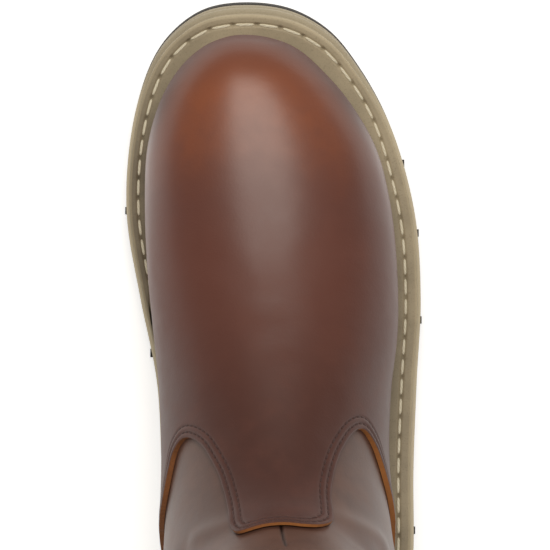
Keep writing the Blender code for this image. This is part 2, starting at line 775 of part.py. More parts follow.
def make_outsole(made_of):
    bm = bmesh.new()
    sole_layer(bm, (
        (OUTSOLE_TOP, 0.4), (OUTSOLE_TOP + 0.6, -0.1), (OUTSOLE_FOOT - 0.6, -0.1), (OUTSOLE_FOOT - 0.2, 0.4),
        (tread_depth, tread_inset),
    ))
    outsole = finish_mesh("outsole", bm, made_of)
    cut(outsole, tread_cutter())
    cut(outsole, channel_cutter())
    cut(outsole, lug_spurs(), "UNION")


def heel_cutter():
    """Grooves from each side into the heel's ground face."""
    bm = bmesh.new()
    for behind in HEEL_GROOVES:
        for side in (-1, 1):
            inner = section_middle(behind) + side * HEEL_KEEL
            bent_block(bm, behind, behind + LUG_GAP, inner, side * BEYOND, FLOOR - HEEL_GROOVE, FLOOR + 4.0)
    return finish_mesh("heel_cutter", bm)


def make_heel(made_of):
    rib = (HEEL_TOP + FLOOR) / 2
    bm = bmesh.new()
    sole_layer(bm, (
        (HEEL_TOP, 0.8), (HEEL_TOP + 0.8, 0.1), (rib - 1.0, 0.3), (rib - 0.6, 1.0), (rib + 0.6, 1.0),
        (rib + 1.0, 0.4), (FLOOR - 1.4, 0.9), (FLOOR, 2.0),
    ), fore=outline_station(HEEL_BREAST))
    heel = finish_mesh("heel", bm, made_of)
    cut(heel, heel_cutter())


def make_insole(made_of):
    bm = bmesh.new()
    bent_block(bm, 0.0, LENGTH, -BEYOND, BEYOND, -INSOLE_RISE, WELT, steps=36)
    insole = finish_mesh("insole", bm, made_of)
    cut(insole, boot_form("inside_of_the_upper", -WALL - 2 * GAP), "INTERSECT")


def main():
    start_scene()
    brown = (0.115, 0.042, 0.026)
    leather = {
        name: material(name, colour, rough)
        for name, colour, rough in (
            ("upper_leather", (0.105, 0.048, 0.034), 0.45), ("vamp_leather", brown, 0.40),
            ("counter_leather", brown, 0.42), ("binding_leather", (0.060, 0.028, 0.020), 0.50),
            ("medial_strap_leather", brown, 0.50), ("lateral_strap_leather", brown, 0.50),
            ("medial_seam_leather", brown, 0.45), ("lateral_seam_leather", brown, 0.45),
            ("insole_leather", (0.42, 0.30, 0.18), 0.80),
        )
    }
    cutters = {"under_foot": under_foot(), "above_collar": above_collar()}
    make_outsole(material("outsole_rubber", (0.035, 0.030, 0.026), 0.75))
    make_heel(material("heel_rubber", (0.035, 0.030, 0.026), 0.75))
    make_midsole(material("midsole_rubber", (0.34, 0.28, 0.17), 0.65))
    make_welt(material("welt_rubber", (0.31, 0.25, 0.15), 0.60))
    make_insole(leather["insole_leather"])
    make_upper(leather["upper_leather"], cutters)
    make_vamp(leather["vamp_leather"], cutters)
    make_counter(leather["counter_leather"], cutters)
    make_binding(leather["binding_leather"])
    make_strap("pull_strap_medial", -1, leather["medial_strap_leather"])
    make_strap("pull_strap_lateral", 1, leather["lateral_strap_leather"])
    make_side_seam("side_seam_medial", -1, leather["medial_seam_leather"])
    make_side_seam("side_seam_lateral", 1, leather["lateral_seam_leather"])


main()
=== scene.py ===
# %% [markdown]
# # A western work boot, seen from above
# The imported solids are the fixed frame: every piece here lies where they lie. Leather, rubber and thread
# are made finer than the solids, from the same sections, and each new piece hides the solid it stands for.

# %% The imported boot
import math

import bmesh
import bpy
import numpy as np
from mathutils import Matrix, Vector
from mathutils.kdtree import KDTree


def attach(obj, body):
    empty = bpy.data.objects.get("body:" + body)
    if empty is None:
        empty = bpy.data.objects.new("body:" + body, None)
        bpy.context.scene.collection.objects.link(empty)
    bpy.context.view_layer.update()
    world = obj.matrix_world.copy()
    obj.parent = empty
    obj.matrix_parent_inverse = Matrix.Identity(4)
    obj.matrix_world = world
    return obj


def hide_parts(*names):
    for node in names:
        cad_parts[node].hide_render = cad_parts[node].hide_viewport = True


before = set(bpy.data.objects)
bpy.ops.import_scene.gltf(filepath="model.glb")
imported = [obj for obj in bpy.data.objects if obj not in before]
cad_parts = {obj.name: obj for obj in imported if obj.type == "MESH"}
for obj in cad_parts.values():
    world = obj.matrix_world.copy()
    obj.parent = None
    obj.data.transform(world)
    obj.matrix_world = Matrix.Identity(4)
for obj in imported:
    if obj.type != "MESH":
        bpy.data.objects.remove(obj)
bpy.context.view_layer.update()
scene = bpy.context.scene
MM = 0.001
print("solids:", sorted(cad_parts))

# %% [markdown]
# ## Camera
# The picture looks straight down on the boot from well above it, so a long lens sees the sole's whole
# outline and little of the shaft's sides. One point of the picture is about 0.4 mm at the welt, and that
# sets the lens.

# %% Camera
PICTURE = 550               # points along each side of the picture
POINT = 0.398 * MM          # one point at the welt
WELT_LEVEL = 25 * MM
CAMERA_LEVEL = 1.5
CAMERA_OVER = (-0.00194, 0.0473)

lens = bpy.data.cameras.new("overhead_camera")
lens.sensor_width = 36.0
lens.lens = lens.sensor_width * (CAMERA_LEVEL - WELT_LEVEL) / (PICTURE * POINT)
camera = bpy.data.objects.new("overhead_camera", lens)
camera.location = (*CAMERA_OVER, CAMERA_LEVEL)
scene.collection.objects.link(camera)
scene.camera = camera
print("lens, mm:", round(lens.lens, 1))

# %% [markdown]
# ## Shader sums
# A finish is mostly arithmetic on noise and places. Node by node that is long to write, so one small class
# wraps a socket: Python's operators add Math nodes, and one method adds any other node.

# %% Shader sums
class Wire:
    """A socket of a material; sums with it add Math nodes."""

    def __init__(self, tree, socket=None):
        self.tree = tree
        self.socket = socket

    def node(self, kind, settings=None, inputs=None, output=0):
        """Adds a node: its settings first, then the values or links of its sockets."""
        made = self.tree.nodes.new("ShaderNode" + kind)
        for name, value in (settings or {}).items():
            setattr(made, name, value)
        for name, value in (inputs or {}).items():
            if isinstance(value, Wire):
                self.tree.links.new(value.socket, made.inputs[name])
            else:
                made.inputs[name].default_value = value
        return Wire(self.tree, made.outputs[output])

    def sums(self, operation, first, second):
        return self.node("Math", {"operation": operation}, {0: first, 1: second})

    def __add__(self, other):
        return self.sums("ADD", self, other)

    def __sub__(self, other):
        return self.sums("SUBTRACT", self, other)

    def __rsub__(self, other):
        return self.sums("SUBTRACT", other, self)

    def __mul__(self, other):
        return self.sums("MULTIPLY", self, other)

    __radd__ = __add__
    __rmul__ = __mul__

    def rise(self, low, high):
        """Nought below low, one above high, smooth between."""
        return self.node("MapRange", {"interpolation_type": "SMOOTHSTEP"}, {0: self, 1: low, 2: high})

    def mix(self, low, high):
        """A colour that goes from low to high with this value."""
        ends = [end if isinstance(end, Wire) else (*end, 1) for end in (low, high)]
        return self.node("Mix", {"data_type": "RGBA"}, {0: self, 6: ends[0], 7: ends[1]}, output=2)


def finish(name, paint, **constants):
    """A material: paint(start) returns the sockets that vary, and the constants stay on the shader itself."""
    made = bpy.data.materials.new(name)
    made.use_nodes = True
    shader = made.node_tree.nodes["Principled BSDF"]
    for socket, value in constants.items():
        shader.inputs[socket.replace("_", " ")].default_value = value
    for socket, value in paint(Wire(made.node_tree)).items():
        made.node_tree.links.new(value.socket, shader.inputs[socket])
    return made


def noise(start, spot, scale, detail=3.0, rough=0.55):
    return start.node("TexNoise", {}, {"Vector": spot, "Scale": scale, "Detail": detail, "Roughness": rough})


def stretched(start, spot, stretch):
    """The place in the boot, squeezed or stretched along its own axes."""
    return start.node("VectorMath", {"operation": "MULTIPLY"}, {0: spot, 1: stretch})


# %% [markdown]
# ## Studio
# A white table that glows a little fills the picture behind the boot, so hardly any shadow is left. One
# large soft box over the toe makes the broad sheen down the ridge; the table makes the pale lines along
# both edges.

# %% Floor and light
FLOOR_HALF = 3.0
WARM_LIGHT = (1.0, 0.95, 0.88)


def as_mesh(bm, name):
    mesh = bpy.data.meshes.new(name)
    bm.to_mesh(mesh)
    bm.free()
    return mesh


floor_bm = bmesh.new()
bmesh.ops.create_grid(floor_bm, x_segments=2, y_segments=2, size=FLOOR_HALF)
floor_mesh = as_mesh(floor_bm, "floor")
floor = bpy.data.objects.new("floor", floor_mesh)
scene.collection.objects.link(floor)


def floor_paint(start):
    spot = start.node("TexCoord", output="Object")
    return {"Base Color": noise(start, spot, 40.0).mix((0.90, 0.90, 0.89), (0.93, 0.93, 0.92))}


floor_mesh.materials.append(finish("pale_floor", floor_paint, Roughness=0.9, Emission_Color=(1, 1, 1, 1),
                                   Emission_Strength=0.5))


def soft_box(name, spot, aim, size, power):
    light = bpy.data.lights.new(name, "AREA")
    light.shape = "RECTANGLE"
    light.size, light.size_y = size
    light.energy = power
    light.color = WARM_LIGHT
    box = bpy.data.objects.new(name, light)
    box.location = spot
    box.rotation_euler = (Vector(aim) - Vector(spot)).to_track_quat("-Z", "Y").to_euler()
    scene.collection.objects.link(box)


soft_box("key_box", (0.04, 0.75, 1.75), (0.0, 0.06, 0.05), (1.1, 1.25), 23.5)
soft_box("back_box", (0.1, -1.9, 1.6), (0, 0, 0.15), (1.6, 1.0), 7.0)

world = bpy.data.worlds.new("studio")
world.use_nodes = True
world.node_tree.nodes["Background"].inputs["Color"].default_value = (1.0, 0.97, 0.93, 1)
world.node_tree.nodes["Background"].inputs["Strength"].default_value = 0.25
scene.world = world
scene.view_settings.view_transform = "Standard"
print("floor and soft boxes set")

# %% [markdown]
# ## Curves and the side line
# Every outline here is a smooth curve through a few measured rows of a table, because a row is easy to read
# and to change. The sole is worked out flat and then bent: up at the toe, and up again from the ball to the
# heel.

# %% Curves through rows
MIDDLE_X, MIDDLE_BEHIND = 2.5, 155.2
GAP, WELT_GAP, WALL, OVERLAY, TRIM = 0.3, 0.45, 2.2, 1.8, 1.0
WELT, MIDSOLE, OUTSOLE, LUG = 4.0, 7.0, 4.0, 6.0
MIDSOLE_TOP = WELT + GAP
MIDSOLE_FOOT = MIDSOLE_TOP + MIDSOLE
OUTSOLE_TOP = MIDSOLE_FOOT + GAP
OUTSOLE_FOOT = OUTSOLE_TOP + OUTSOLE
TREAD = OUTSOLE_FOOT + LUG
TOE_SPRING, SPRING_END = 11.0, 62.0
PITCH, PITCH_START, PITCH_END = 18.4, 128.0, 232.0


def place(x, behind, up):
    """Design places in millimetres, as points of the boot in metres."""
    return np.stack(np.broadcast_arrays(x - MIDDLE_X, MIDDLE_BEHIND - behind, up), -1) * MM


def design_place(points):
    """The way back: (x, behind, up) in millimetres."""
    return points[..., 0] / MM + MIDDLE_X, MIDDLE_BEHIND - points[..., 1] / MM, points[..., 2] / MM


def smooth(share):
    """A soft step from nought to one."""
    share = np.clip(share, 0.0, 1.0)
    return share * share * (3 - 2 * share)


class RowCurve:
    """A smooth curve through the rows of a table, read by row number.

    Ghost rows set how it leaves its ends, straight on if none are given. The first columns are lengths, which
    space the rows."""

    def __init__(self, rows, before=None, after=None, lengths=2):
        rows = np.array(rows, float)
        before = 2 * rows[0] - rows[1] if before is None else before
        after = 2 * rows[-1] - rows[-2] if after is None else after
        table = np.array([before, *rows, after])
        steps = np.linalg.norm(np.diff(table[:, :lengths], axis=0), axis=1)
        knots = np.concatenate([[0.0], np.cumsum(np.sqrt(steps))])
        spans = np.diff(knots)[:, None]
        rises = np.diff(table, axis=0) / spans
        self.slopes = (rises[:-1] * spans[1:] + rises[1:] * spans[:-1]) / (spans[:-1] + spans[1:])
        self.rows = table[1:-1]
        self.spans = spans[1:-1]

    def __call__(self, station):
        station = np.asarray(station, float)
        first = np.clip(np.floor(station).astype(int), 0, len(self.spans) - 1)
        share = (station - first)[..., None]
        span = self.spans[first]
        square, cube = share ** 2, share ** 3
        return (
            (2 * cube - 3 * square + 1) * self.rows[first]
            + (cube - 2 * square + share) * self.slopes[first] * span
            + (3 * square - 2 * cube) * self.rows[first + 1]
            + (cube - square) * self.slopes[first + 1] * span
        )


def feather(behind):
    """(height, slope towards the toe) of the welt's top."""
    toe = np.maximum(0.0, 1 - behind / SPRING_END)
    heel = np.clip((behind - PITCH_START) / (PITCH_END - PITCH_START), 0.0, 1.0)
    up = TREAD + TOE_SPRING * toe ** 2 + PITCH * smooth(heel)
    toe_slope = 2 * TOE_SPRING * toe / SPRING_END
    return up, toe_slope - 6 * PITCH * heel * (1 - heel) / (PITCH_END - PITCH_START)


def bent(x, behind, depth):
    """A point of the flat sole, bent to the boot's side line."""
    up, slope = feather(behind)
    lean = np.arctan(slope)
    return place(x, behind - depth * np.sin(lean), up - depth * np.cos(lean))


print("tread below the welt's top, mm:", TREAD)

# %% [markdown]
# ## The sole's plan
# Seen from above, the sole is fullest on the inner side of the ball first and on the outer side further
# back. Its edge could be pulled into shape by hand; rows for both sides keep it true and let every layer
# share it.

# %% The sole's plan
OUTLINE = {                 # behind, medial, lateral
    "toe tip": (3.6, -10.5, -10.5),
    "toe bow": (5.9, -27.3, 7.0),
    "toe round": (13.4, -39.6, 21.7),
    "toe": (24.7, -48.6, 32.4),
    "toe root": (47.2, -56.2, 46.1),
    "inner ball": (82.0, -58.9, 56.3),
    "outer ball": (118.0, -53.2, 58.9),
    "arch front": (150.0, -46.6, 57.2),
    "waist": (185.0, -44.4, 55.6),
    "heel breast": (215.0, -42.2, 55.4),
    "heel front": (245.0, -39.4, 53.4),
    "heel": (272.0, -36.2, 49.4),
    "heel round": (296.0, -25.6, 39.0),
    "heel bow": (308.0, -9.0, 22.6),
    "heel end": (311.6, 7.0, 7.0),
}
OUTLINE_END = len(OUTLINE) - 1
MEDIAL, LATERAL = -1, 1
OUTLINE_NUDGE = 0.002       # part of a row, to feel which way the outline runs


def side_curve(side):
    """One side of the outline from toe to heel, as (behind, x)."""
    own, other = (1, 2) if side == MEDIAL else (2, 1)
    rows = list(OUTLINE.values())
    before, after = ((row[0], row[other]) for row in (rows[1], rows[-2]))
    return RowCurve([(row[0], row[own]) for row in rows], before, after)


SIDE_CURVES = {side: side_curve(side) for side in (MEDIAL, LATERAL)}


def edge(side, station, inset):
    """Points of the outline moved inwards by `inset`, as (behind, x); `side` is an array of -1 and 1."""
    def at(step):
        medial, lateral = (SIDE_CURVES[each](station + step) for each in (MEDIAL, LATERAL))
        return np.where(side[:, None] < 0, medial, lateral)

    run, rise = (at(OUTLINE_NUDGE) - at(-OUTLINE_NUDGE)).T
    length = np.hypot(run, rise)
    behind, x = at(0.0).T
    return behind + side * inset * rise / length, x - side * inset * run / length


def outline_station(behind):
    """The row number of the outline at a distance behind the toe."""
    stations = np.linspace(0, OUTLINE_END, 2000)
    return np.interp(behind, SIDE_CURVES[LATERAL](stations)[:, 0], stations)


def sole_middle(behind):
    station = outline_station(behind)
    return (SIDE_CURVES[MEDIAL](station)[..., 1] + SIDE_CURVES[LATERAL](station)[..., 1]) / 2


print("outline rows:", len(OUTLINE))

# %% [markdown]
# ## The last
# Leather takes the shape of the wooden last it was pulled over. Sections from the toe to the collar, each a
# rounded curve between a keel and a ridge, give that shape; the upper, the vamp and the counter all read
# the same function, so they lie on each other like the real layers.

# %% Sections of the last
SECTIONS = {  # ridge behind, ridge up, keel behind, keel up, medial, lateral, middle, widest, crown, base
    "toe tip": (15.4, 40.0, 15.4, 40.0, 0.0, 0.0, -12.0, 0.50, 2.1, 2.2),
    "toe bow": (16.6, 49.0, 16.6, 31.0, 7.4, 10.3, -12.0, 0.50, 2.1, 2.2),
    "toe wall": (20.4, 57.5, 20.4, 22.0, 15.6, 19.9, -11.9, 0.50, 2.15, 2.3),
    "toe front": (28.0, 63.8, 28.0, 13.5, 24.4, 28.2, -11.2, 0.50, 2.2, 2.6),
    "toe cap": (40.0, 68.0, 40.0, 11.0, 33.1, 37.2, -9.6, 0.48, 2.2, 3.0),
    "toe root": (58.0, 71.5, 58.0, 9.6, 40.5, 45.4, -7.2, 0.46, 2.2, 3.4),
    "ball front": (80.0, 75.5, 80.0, 9.6, 44.1, 48.6, -4.6, 0.43, 2.15, 3.6),
    "ball": (105.0, 81.5, 105.0, 9.6, 45.9, 48.4, -1.8, 0.40, 2.1, 3.6),
    "instep front": (130.0, 91.0, 130.0, 9.6, 45.7, 46.4, 0.4, 0.37, 2.05, 3.6),
    "instep": (152.0, 101.5, 154.0, 12.4, 44.8, 42.2, 1.9, 0.35, 2.0, 3.5),
    "throat": (170.5, 112.0, 186.0, 20.5, 44.6, 40.4, 2.8, 0.34, 2.0, 3.3),
    "front bend": (185.5, 123.0, 220.0, 27.2, 45.8, 42.2, 3.5, 0.36, 2.05, 3.1),
    "ankle front": (195.5, 134.5, 254.0, 28.0, 47.2, 44.4, 4.2, 0.40, 2.1, 2.9),
    "heel base": (201.0, 147.0, 285.0, 28.5, 46.4, 45.2, 4.8, 0.43, 2.15, 2.7),
    "heel corner": (203.6, 159.0, 304.0, 36.0, 45.2, 45.0, 5.3, 0.45, 2.2, 2.4),
    "heel": (205.0, 172.0, 308.6, 62.0, 45.0, 45.0, 5.8, 0.47, 2.2, 2.2),
    "heel top": (205.6, 186.0, 306.8, 98.0, 45.8, 45.8, 6.0, 0.48, 2.25, 2.2),
    "ankle": (206.0, 204.0, 304.4, 140.0, 47.4, 47.4, 6.0, 0.49, 2.3, 2.2),
    "calf": (206.2, 228.0, 305.0, 190.0, 49.6, 49.6, 6.0, 0.50, 2.3, 2.2),
    "upper shaft": (206.2, 252.0, 307.4, 235.0, 51.4, 51.4, 6.0, 0.50, 2.3, 2.2),
    "above collar": (206.0, 310.0, 311.4, 310.0, 53.4, 53.4, 6.0, 0.50, 2.3, 2.2),
}
LAST_RING = len(SECTIONS) - 1.0
NUDGE = 0.004               # part of a section or turn, to feel which way the skin faces
TINY = 1e-12
FORWARD = (0.0, 1.0, 0.0)   # the normal at the toe tip, where the sections shrink to a point


def section_curve():
    rows = [np.array(row) for row in SECTIONS.values()]
    mirrored = rows[1][[2, 3, 0, 1, 4, 5, 6, 7, 8, 9]] * np.array([1, 1, 1, 1, -1, -1, 1, 1, 1, 1])
    return RowCurve(rows, mirrored, lengths=6)


SECTION_CURVE = section_curve()


def bare_skin(station, turn):
    """The last's surface: `turn` is 0 on the ridge, a quarter on the outer side, a half at the keel."""
    station, turn = np.broadcast_arrays(station, turn)
    (ridge_behind, ridge_up, keel_behind, keel_up, medial, lateral, middle, widest, crown,
     base) = np.moveaxis(SECTION_CURVE(station), -1, 0)
    up, out = np.cos(2 * np.pi * turn), np.sin(2 * np.pi * turn)
    power = 2 / np.where(up > 0, crown, base)
    height = widest + np.where(up > 0, 1 - widest, widest) * np.sign(up) * np.abs(up) ** power
    half = np.where(out > 0, lateral, medial)
    return place(
        middle + half * np.sign(out) * np.abs(out) ** power,
        keel_behind + height * (ridge_behind - keel_behind),
        keel_up + height * (ridge_up - keel_up),
    )


def skin_normal(station, turn):
    along = bare_skin(np.minimum(station + NUDGE, LAST_RING), turn) - bare_skin(station - NUDGE, turn)
    around = bare_skin(station, turn + NUDGE) - bare_skin(station, turn - NUDGE)
    normal = np.cross(along, around)
    length = np.linalg.norm(normal, axis=-1, keepdims=True)
    return np.where(length > TINY, normal / np.maximum(length, TINY), FORWARD)


def skin(station, turn, grow):
    """The last's surface, moved outwards by `grow` millimetres."""
    return bare_skin(station, turn) + skin_normal(station, turn) * np.asarray(grow)[..., None] * MM


def bisected(low, high, is_low, rounds=40):
    """The place between low and high where is_low turns false, for whole arrays."""
    for _ in range(rounds):
        middle = (low + high) / 2
        below = is_low(middle)
        low, high = np.where(below, middle, low), np.where(below, high, middle)
    return (low + high) / 2


def foot_depth(points):
    """How far points lie under the welt's top, in millimetres."""
    _, behind, level = design_place(points)
    up, slope = feather(behind)
    return (up - level) * np.cos(np.arctan(slope))


CUT_STATIONS = np.linspace(0, LAST_RING, 1001)


def foot_turn(stations, depth):
    """The turn where the skin comes down to a depth under the welt's top, or a half where it stays above."""
    start = np.full_like(stations, 0.25)
    return bisected(start, start * 2, lambda turn: foot_depth(bare_skin(stations, turn)) < depth)


LASTED_CUT = foot_turn(CUT_STATIONS, WELT)


def lasted_turn(station, share):
    """The turn for a share of the way from the ridge, at 0, to the leather's bottom edge, at 1 or -1."""
    return share * np.interp(station, CUT_STATIONS, LASTED_CUT)


SIDE_START = 9.0            # the first section that the side view is read from


def side_place(behind, up):
    """(station, turn) of a point of the side view."""
    behind, up = np.broadcast_arrays(np.asarray(behind, float), np.asarray(up, float))

    def spans(station):
        ridge_behind, ridge_up, keel_behind, keel_up = np.moveaxis(SECTION_CURVE(station), -1, 0)[:4]
        return keel_behind - ridge_behind, keel_up - ridge_up, behind - ridge_behind, up - ridge_up

    def still_ahead(station):
        run, rise, back, over = spans(station)
        return run * over - rise * back > 0

    station = bisected(np.full(behind.shape, SIDE_START), np.full(behind.shape, LAST_RING), still_ahead)
    run, rise, back, over = spans(station)
    widest, crown, base = np.moveaxis(SECTION_CURVE(station), -1, 0)[7:]
    share = 1 - np.hypot(back, over) / np.hypot(run, rise)
    high = share > widest
    level = np.clip(np.abs(share - widest) / np.where(high, 1 - widest, widest), 0, 1)
    turn = np.arccos(level ** (np.where(high, crown, base) / 2)) / (2 * np.pi)
    return station, np.where(high, turn, 0.5 - turn)


print("sections:", len(SECTIONS))

# %% [markdown]
# ## Making a piece
# A grid is the simplest start for a curved sheet: each point of it is put where a function says, and points
# that fall together are welded. One helper then hangs the finishes on the mesh, hides the solid the piece
# stands for and makes it ride on the boot.

# %% Making a piece
WELD = 2e-6
SHARP = math.radians(40)


def lay(along, around, point, mark=None):
    """A grid laid on point(u, v), with u and v arrays from 0 to 1.

    With a mark, point gives a number for each vertex too, which is kept for the finish to read."""
    bm = bmesh.new()
    bmesh.ops.create_grid(bm, x_segments=along, y_segments=around, size=1.0)
    layer = bm.verts.layers.float.new(mark) if mark else None
    flat = np.array([vert.co for vert in bm.verts])[:, :2] / 2 + 0.5
    made = point(flat[:, 0], flat[:, 1])
    spots, numbers = made if mark else (made, None)
    for number, vert in enumerate(bm.verts):
        vert.co = spots[number]
        if mark:
            vert[layer] = numbers[number]
    return bm


def row_of(v, count):
    """The row of a closed section at v; the last row falls on the first one."""
    return np.rint(v * count).astype(int) % count


def run_of(points):
    """Millimetres along a line of points."""
    return np.concatenate([[0.0], np.cumsum(np.linalg.norm(np.diff(points, axis=0), axis=1))]) / MM


def face_out(bm):
    """Turns an open sheet that wraps the foot so that it faces away from it."""
    bmesh.ops.remove_doubles(bm, verts=bm.verts, dist=WELD)
    bm.normal_update()
    middle = sum((face.calc_center_median() for face in bm.faces), Vector()) / len(bm.faces)
    outward = sum(face.normal.dot(face.calc_center_median() - middle) * face.calc_area() for face in bm.faces)
    if outward < 0:
        bmesh.ops.reverse_faces(bm, faces=bm.faces)


def close_up(bm):
    """Welds a solid, fills its open ends and faces it outwards."""
    bmesh.ops.remove_doubles(bm, verts=bm.verts, dist=WELD)
    bmesh.ops.holes_fill(bm, edges=[edge for edge in bm.edges if edge.is_boundary], sides=0)
    bmesh.ops.recalc_face_normals(bm, faces=bm.faces)


def add_piece(name, bm, finishes, node=None):
    mesh = as_mesh(bm, name)
    mesh.shade_smooth()
    mesh.set_sharp_from_angle(angle=SHARP)
    for made_of in finishes:
        mesh.materials.append(made_of)
    piece = bpy.data.objects.new(name, mesh)
    scene.collection.objects.link(piece)
    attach(piece, "root")
    if node:
        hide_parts(node)
    print(name, len(mesh.polygons), "faces")
    return piece


def thicken(piece, thickness, inner=0, rim=0):
    """Gives a sheet its thickness inwards; inner and rim pick the finishes of those faces."""
    wall = piece.modifiers.new("wall", "SOLIDIFY")
    wall.thickness = thickness * MM
    wall.offset = -1.0
    wall.material_offset = inner
    wall.material_offset_rim = rim


def near_tree(points):
    tree = KDTree(len(points))
    for number, point in enumerate(points):
        tree.insert(point, number)
    tree.balance()
    return tree


def distances(points, tree):
    """Millimetres from each point to the nearest one of the tree."""
    return np.array([tree.find(point)[2] for point in points]) / MM


# %% [markdown]
# ## Leather
# Waxed pull-up leather is dark where the wax lies thick and goes orange where the last stretches it, as
# over the toe. Its tone follows the place on the boot, with clouds of two sizes; a close pebble and finer
# pores make the grain, and fine wrinkles run across the foot where it bends. Painted shade darkens the
# toe's front wall, its tip and the outer flank of the vamp, and the raw edges on the medial side.

# %% Leather finishes
BROAD_CLOUDS, FINE_CLOUDS = 38.0, 150.0     # noise scales, in a metre
PEBBLES, PORES = 1150.0, 2600.0
WRINKLES, SWELLS = (110.0, 420.0, 260.0), (38.0, 62.0, 45.0)    # scales across, along and up the boot
GRAIN_DEPTH = 0.25 * MM


def leather(name, paint_tone, rough=0.42, coat=0.15, grain=1.0, polished=False):
    """paint_tone(start, spot, clouds) returns the base colour; polished leather shines most at the toe."""
    def paint(start):
        spot = start.node("TexCoord", output="Object")
        clouds = noise(start, spot, BROAD_CLOUDS) * 0.7 + noise(start, spot, FINE_CLOUDS) * 0.3
        pebble = start.node("TexVoronoi", {"feature": "SMOOTH_F1"}, {"Vector": spot, "Scale": PEBBLES})
        pores = noise(start, spot, PORES, 2.0)
        wrinkles = noise(start, stretched(start, spot, WRINKLES), 1.0, 4.0, 0.6)
        swell = noise(start, stretched(start, spot, SWELLS), 1.0, 2.0)
        height = pebble * (0.5 * grain) + pores * (0.35 * grain) + wrinkles * 0.9 + swell * 7.0
        bump = start.node("Bump", {}, {"Strength": 0.22, "Distance": GRAIN_DEPTH, "Height": height})
        made = {
            "Base Color": paint_tone(start, spot, clouds),
            "Roughness": clouds * 0.22 + pores * 0.10 + (rough - 0.16),
            "Normal": bump,
        }
        if polished:
            back = behind_toe(start, spot)
            dull = back.rise(32.0, 128.0)
            rim = (1 - back.rise(36.0, 64.0)) * low_down(start, spot)
            made["Coat Weight"] = (0.66 - dull * 0.57) * (1 - rim)
            made["Roughness"] = made["Roughness"] + dull * 0.10 + rim * 0.12
        return made

    return finish(name, paint, Coat_Weight=coat, Coat_Roughness=0.3, Specular_IOR_Level=0.34)


def reach(start, spot, axis):
    """Millimetres along an axis: X to the outer side, Z up from the ground."""
    return start.node("SeparateXYZ", {}, {0: spot}, output=axis) * (1 / MM)


def behind_toe(start, spot):
    return MIDDLE_BEHIND - reach(start, spot, "Y")


def low_down(start, spot):
    """One on the toe's wall, nought on its top."""
    return reach(start, spot, "Z").rise(70.0, 48.0)


TOE_ORANGE = (0.270, 0.074, 0.026)
RED_BROWN = (0.130, 0.042, 0.027)
DARK_BROWN = (0.066, 0.0205, 0.013)
WARM_BROWN = (0.160, 0.050, 0.030)
SHAFT_BROWN, SHAFT_PALE = (0.085, 0.040, 0.028), (0.118, 0.056, 0.038)
SEAM_BLACK = (0.020, 0.010, 0.008)
RAW_TAN = (0.36, 0.135, 0.035)
RAW_BROWN = (0.17, 0.062, 0.022)


def cloudy(dark, pale):
    """A tone that drifts from dark to pale with the clouds."""
    return lambda start, spot, clouds: clouds.rise(0.35, 0.68).mix(dark, pale)


def vamp_tone(start, spot, clouds):
    back = behind_toe(start, spot) + (clouds - 0.5) * 30.0
    # Painted shade: the toe's front wall is darkened, as the light falls from above.
    toe_wall_shade = (1 - back.rise(40.0, 75.0)) * low_down(start, spot)
    # Painted shade: the toe's tip is dulled towards red brown.
    toe_tip_shade = 1 - back.rise(18.0, 40.0)
    # Painted shade: the outer flank of the vamp is darkened.
    outer_flank_shade = reach(start, spot, "X").rise(16.0, 42.0)
    tone = back.rise(30.0, 82.0).mix(TOE_ORANGE, RED_BROWN)
    tone = back.rise(95.0, 180.0).mix(tone, DARK_BROWN)
    tone = (toe_wall_shade * 0.9).mix(tone, DARK_BROWN)
    tone = (toe_tip_shade * 0.35).mix(tone, RED_BROWN)
    tone = (outer_flank_shade * 0.4).mix(tone, DARK_BROWN)
    return (clouds.rise(0.42, 0.72) * 0.25).mix(tone, WARM_BROWN)


def shaft_tone(start, spot, clouds):
    seam = start.node("Attribute", {"attribute_name": "front_seam"}, output="Fac")
    return seam.mix(cloudy(SHAFT_BROWN, SHAFT_PALE)(start, spot, clouds), SEAM_BLACK)


def raw_tone(start, spot, clouds):
    fibres = noise(start, spot, 900.0, 4.0).rise(0.2, 0.8) * 0.4
    # The raw edge is darker towards the medial side, which is painted shade; the fibres are its own grain.
    return (reach(start, spot, "X").rise(-30.0, 10.0) * 0.75 + fibres).mix(RAW_BROWN, RAW_TAN)


LINING_TONE = cloudy((0.33, 0.22, 0.12), (0.40, 0.27, 0.15))
VAMP_LEATHER = leather("burnished_vamp", vamp_tone, polished=True)
SHAFT_LEATHER = leather("waxed_shaft", shaft_tone, rough=0.46)
HEEL_LEATHER = leather("waxed_counter", cloudy((0.085, 0.030, 0.020), (0.140, 0.046, 0.027)))
RAW_EDGE = leather("raw_edge", raw_tone, rough=0.75, coat=0.0, grain=2.0)
LINING = leather("shaft_lining", LINING_TONE, rough=0.72, coat=0.0)
print("leathers:", VAMP_LEATHER.name, SHAFT_LEATHER.name, HEEL_LEATHER.name)

# %% [markdown]
# ## Where the vamp ends
# The vamp's rear edge is the boot's western line: a tongue up the shaft's front, an arch on each side of it
# and a wing down to the welt. It is charted by the turn from the ridge and the section, like a pattern
# piece.

